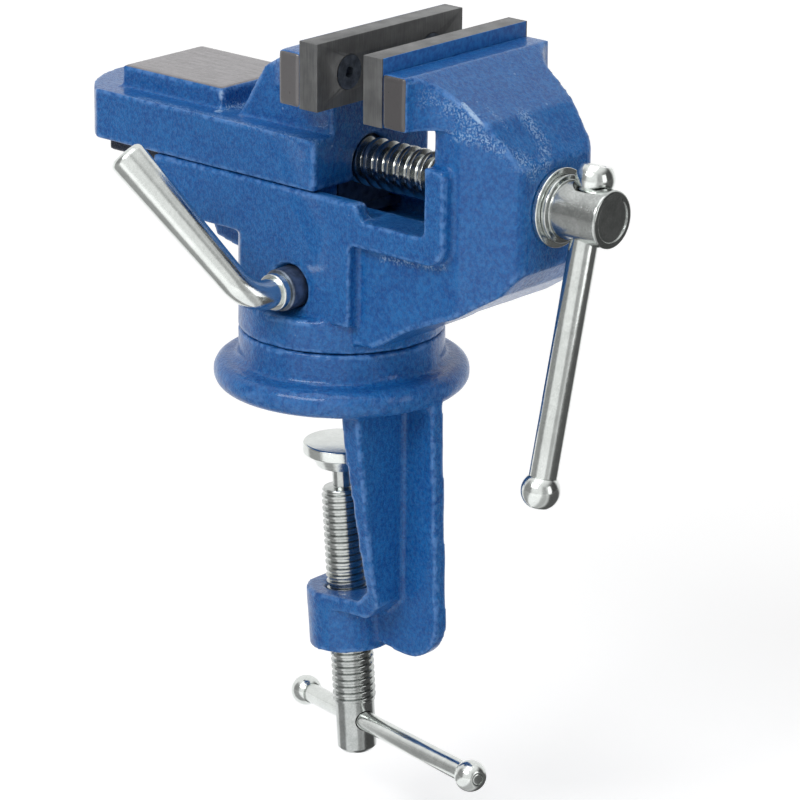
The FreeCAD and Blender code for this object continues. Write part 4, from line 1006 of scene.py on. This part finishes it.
def clamp_screw():
    """Ball, neck, thread and the plain end with its cross hole."""
    neck = [(0, -PIVOT_BALL, 0)]
    sweep = math.pi - math.asin(PIVOT_NECK / PIVOT_BALL)
    for step in range(1, PIVOT_STEPS + 1):
        angle = math.pi - sweep * step / PIVOT_STEPS
        neck.append((PIVOT_BALL * math.sin(angle), PIVOT_BALL * math.cos(angle), 0))
    neck += [(PIVOT_NECK, 8.0, 0.3), (5.5, 8.2, 0), (5.5, 9.4, 0), (0, 9.4, 0)]
    end = [(0, 72.5, 0), (5.7, 72.5, 0.4), (5.7, 87.2, 0.6), (4.5, 88.4, 0.4), (0, 88.4, 0)]
    piece = turned_piece("clamp_screw_turned", CLAMP_FRAME, lambda m: add_turned(m, end))
    drill(piece, CLAMP_BAR_FRAME, CLAMP_BAR.radius + BAR_CLEARANCE, CLAMP_HOLE_LENGTH)
    add_mesh(piece, "clamp_thread", CLAMP_FRAME, lambda m: add_turned(m, neck), lambda m: add_thread(
        m, low=8.2, high=73.8, root=5.5, crest=6.25, pitch=2.0, runout=1.0))
    finish_piece(piece, "bright_plated_steel", "table_screw", "clamp_screw", finish=SHADED_PLATING)


def clamp_pad():
    """The flat pad on its hub, hollow over the ball."""
    top, rim, foot = -18.0, -21.4, -25.2
    outline = [
        (0, top, 0), (11.0, top, 0.7), (11.0, rim, 0.7), (9.0, rim, 0.5), (7.0, foot, 0.4),
        (3.9, foot, 0.2), (4.25, -23.4, 0), (3.2, -20.6, 0), (0, -19.15, 0),
    ]
    place = Matrix.Translation(Vector((BALL_CENTRE[0] * MM, 0, 0)))
    piece = turned_piece("clamp_pad_turned", place, lambda m: add_turned(m, outline))
    finish_piece(piece, "bright_plated_steel", "table_pad", "clamp_pad")


# ---------------------------------------------------------------------------
# Swivel lock
# ---------------------------------------------------------------------------

LOCK_FRAME = frame_along((2.0, 0, 33.7), (0, -1, 0))
LEVER_POINT = Vector((2.0, -40.0, 33.7))
LEVER_BEND = math.radians(74.3)
LEVER_TURN = math.radians(-41.4)
LEVER_ARM = Vector((math.sin(LEVER_BEND) * math.sin(LEVER_TURN), -math.cos(LEVER_BEND),
                    math.sin(LEVER_BEND) * math.cos(LEVER_TURN)))
LEVER_RADIUS = 4.2
LEVER_TIP_RADIUS = 5.3
LEVER_TIP_ROUND = 2.0
# from the point where the axes of the two legs meet: into the bolt, and out to the tip
LEVER_INSIDE = 17.6
LEVER_LENGTH = 52.9
ELBOW_ROUND = 9.0


def lock_bolt():
    outline = [
        (4.22, 28.4, 0.2), (6.0, 28.4, 0.6), (6.0, 17.5, 0.3), (0, 17.5, 0), (0, 22.4, 0), (4.22, 22.4, 0),
    ]
    piece = turned_piece("lock_bolt_turned", LOCK_FRAME, lambda m: add_turned_ring(m, outline))
    finish_piece(piece, "dark_steel", "lock_handle", "lock_bolt")


def lever_ring():
    outline = [(4.22, 28.4, 0.2), (5.2, 28.4, 0.3), (5.2, 31.0, 0.8), (4.22, 31.0, 0.2)]
    piece = turned_piece("lever_ring_turned", LOCK_FRAME, lambda m: add_turned_ring(m, outline))
    finish_piece(piece, "bright_plated_steel", "lock_handle", "lever_ring")


BEND_STEPS = 24
END_STEPS = 8
ROD_SIDES = 48


def lock_lever():
    """A round rod: straight out of the bolt, one bend, and the arm with its rounded end."""
    outward = Vector((0, -1, 0))
    hinge = outward.cross(LEVER_ARM).normalized()
    bend = outward.angle(LEVER_ARM)
    start = LEVER_POINT - outward * LEVER_INSIDE
    bend_start = LEVER_POINT - outward * ELBOW_ROUND * math.tan(bend / 2)
    heart = bend_start + hinge.cross(outward) * ELBOW_ROUND
    stations = [(start, outward, 0.0), (start, outward, LEVER_RADIUS)]
    for step in range(BEND_STEPS + 1):
        turn = Matrix.Rotation(bend * step / BEND_STEPS, 3, hinge)
        stations.append((heart + turn @ (bend_start - heart), turn @ outward, LEVER_RADIUS))
    round_start = LEVER_POINT + LEVER_ARM * (LEVER_LENGTH - LEVER_TIP_ROUND)
    for step in range(END_STEPS + 1):
        angle = math.pi / 2 * step / END_STEPS
        place = round_start + LEVER_ARM * LEVER_TIP_ROUND * math.sin(angle)
        stations.append((place, LEVER_ARM, LEVER_TIP_RADIUS - LEVER_TIP_ROUND * (1 - math.cos(angle))))
    stations.append((round_start + LEVER_ARM * LEVER_TIP_ROUND, LEVER_ARM, 0.0))

    def make(mesh):
        rings = []
        for centre, ahead, size in stations:
            over = ahead.cross(hinge)
            circle = []
            for step in range(ROD_SIDES if size > 0 else 1):
                angle = 2 * math.pi * step / ROD_SIDES
                circle.append((centre + size * (math.cos(angle) * hinge + math.sin(angle) * over)) * MM)
            rings.append(circle)
        add_rings(mesh, rings)

    piece = turned_piece("lock_lever_bent", Matrix.Identity(4), make)
    finish_piece(piece, "bright_plated_steel", "lock_handle", "lock_lever")


# ---------------------------------------------------------------------------
# The whole scene
# ---------------------------------------------------------------------------

KEPT_NODES = {
    "fixed_plate_screws": "dark_steel",
    "moving_plate_screws": "dark_steel",
    "slide_nut": "dark_steel",
    "slide_keeper": "dark_steel",
    "keeper_screws": "dark_steel",
    "retaining_collar": "bright_plated_steel",
    "collar_pin": "dark_steel",
    "lock_shoe": "dark_steel",
}


def keep_nodes():
    """The CAD nodes whose shape is right as it is get their finish."""
    for node, slot in KEPT_NODES.items():
        slots = NODES[node].material_slots
        if not slots:
            raise RuntimeError(f"{node} has no material slot")
        for item in slots:
            item.material = FINISH[slot]


make_camera()
make_world()
make_floor()
area_light("key", azimuth=-2.0, elevation=40.0, distance=1.3, size=(0.8, 0.4), watts=7.4)
area_light("top", azimuth=10.0, elevation=80.0, distance=1.2, size=(0.9, 0.9), watts=3.2)
area_light("side", azimuth=95.0, elevation=12.0, distance=1.4, size=(0.5, 0.9), watts=2.4)

casting("clamp_frame", "clamp_base")
casting("swivel_body", "swivel_head")
casting("sliding_jaw", "jaw_carriage")
jaw_plate("fixed_jaw_plate", "swivel_head")
jaw_plate("moving_jaw_plate", "jaw_carriage")
main_screw()
thrust_washer()
sliding_bar("handle_bar", HANDLE_BAR, "main_handle", "handle_end_lower", "handle_end_upper")
clamp_screw()
clamp_pad()
sliding_bar("table_bar", CLAMP_BAR, "clamp_bar", "clamp_bar_end_short", "clamp_bar_end_long")
lock_bolt()
lever_ring()
lock_lever()
keep_nodes()
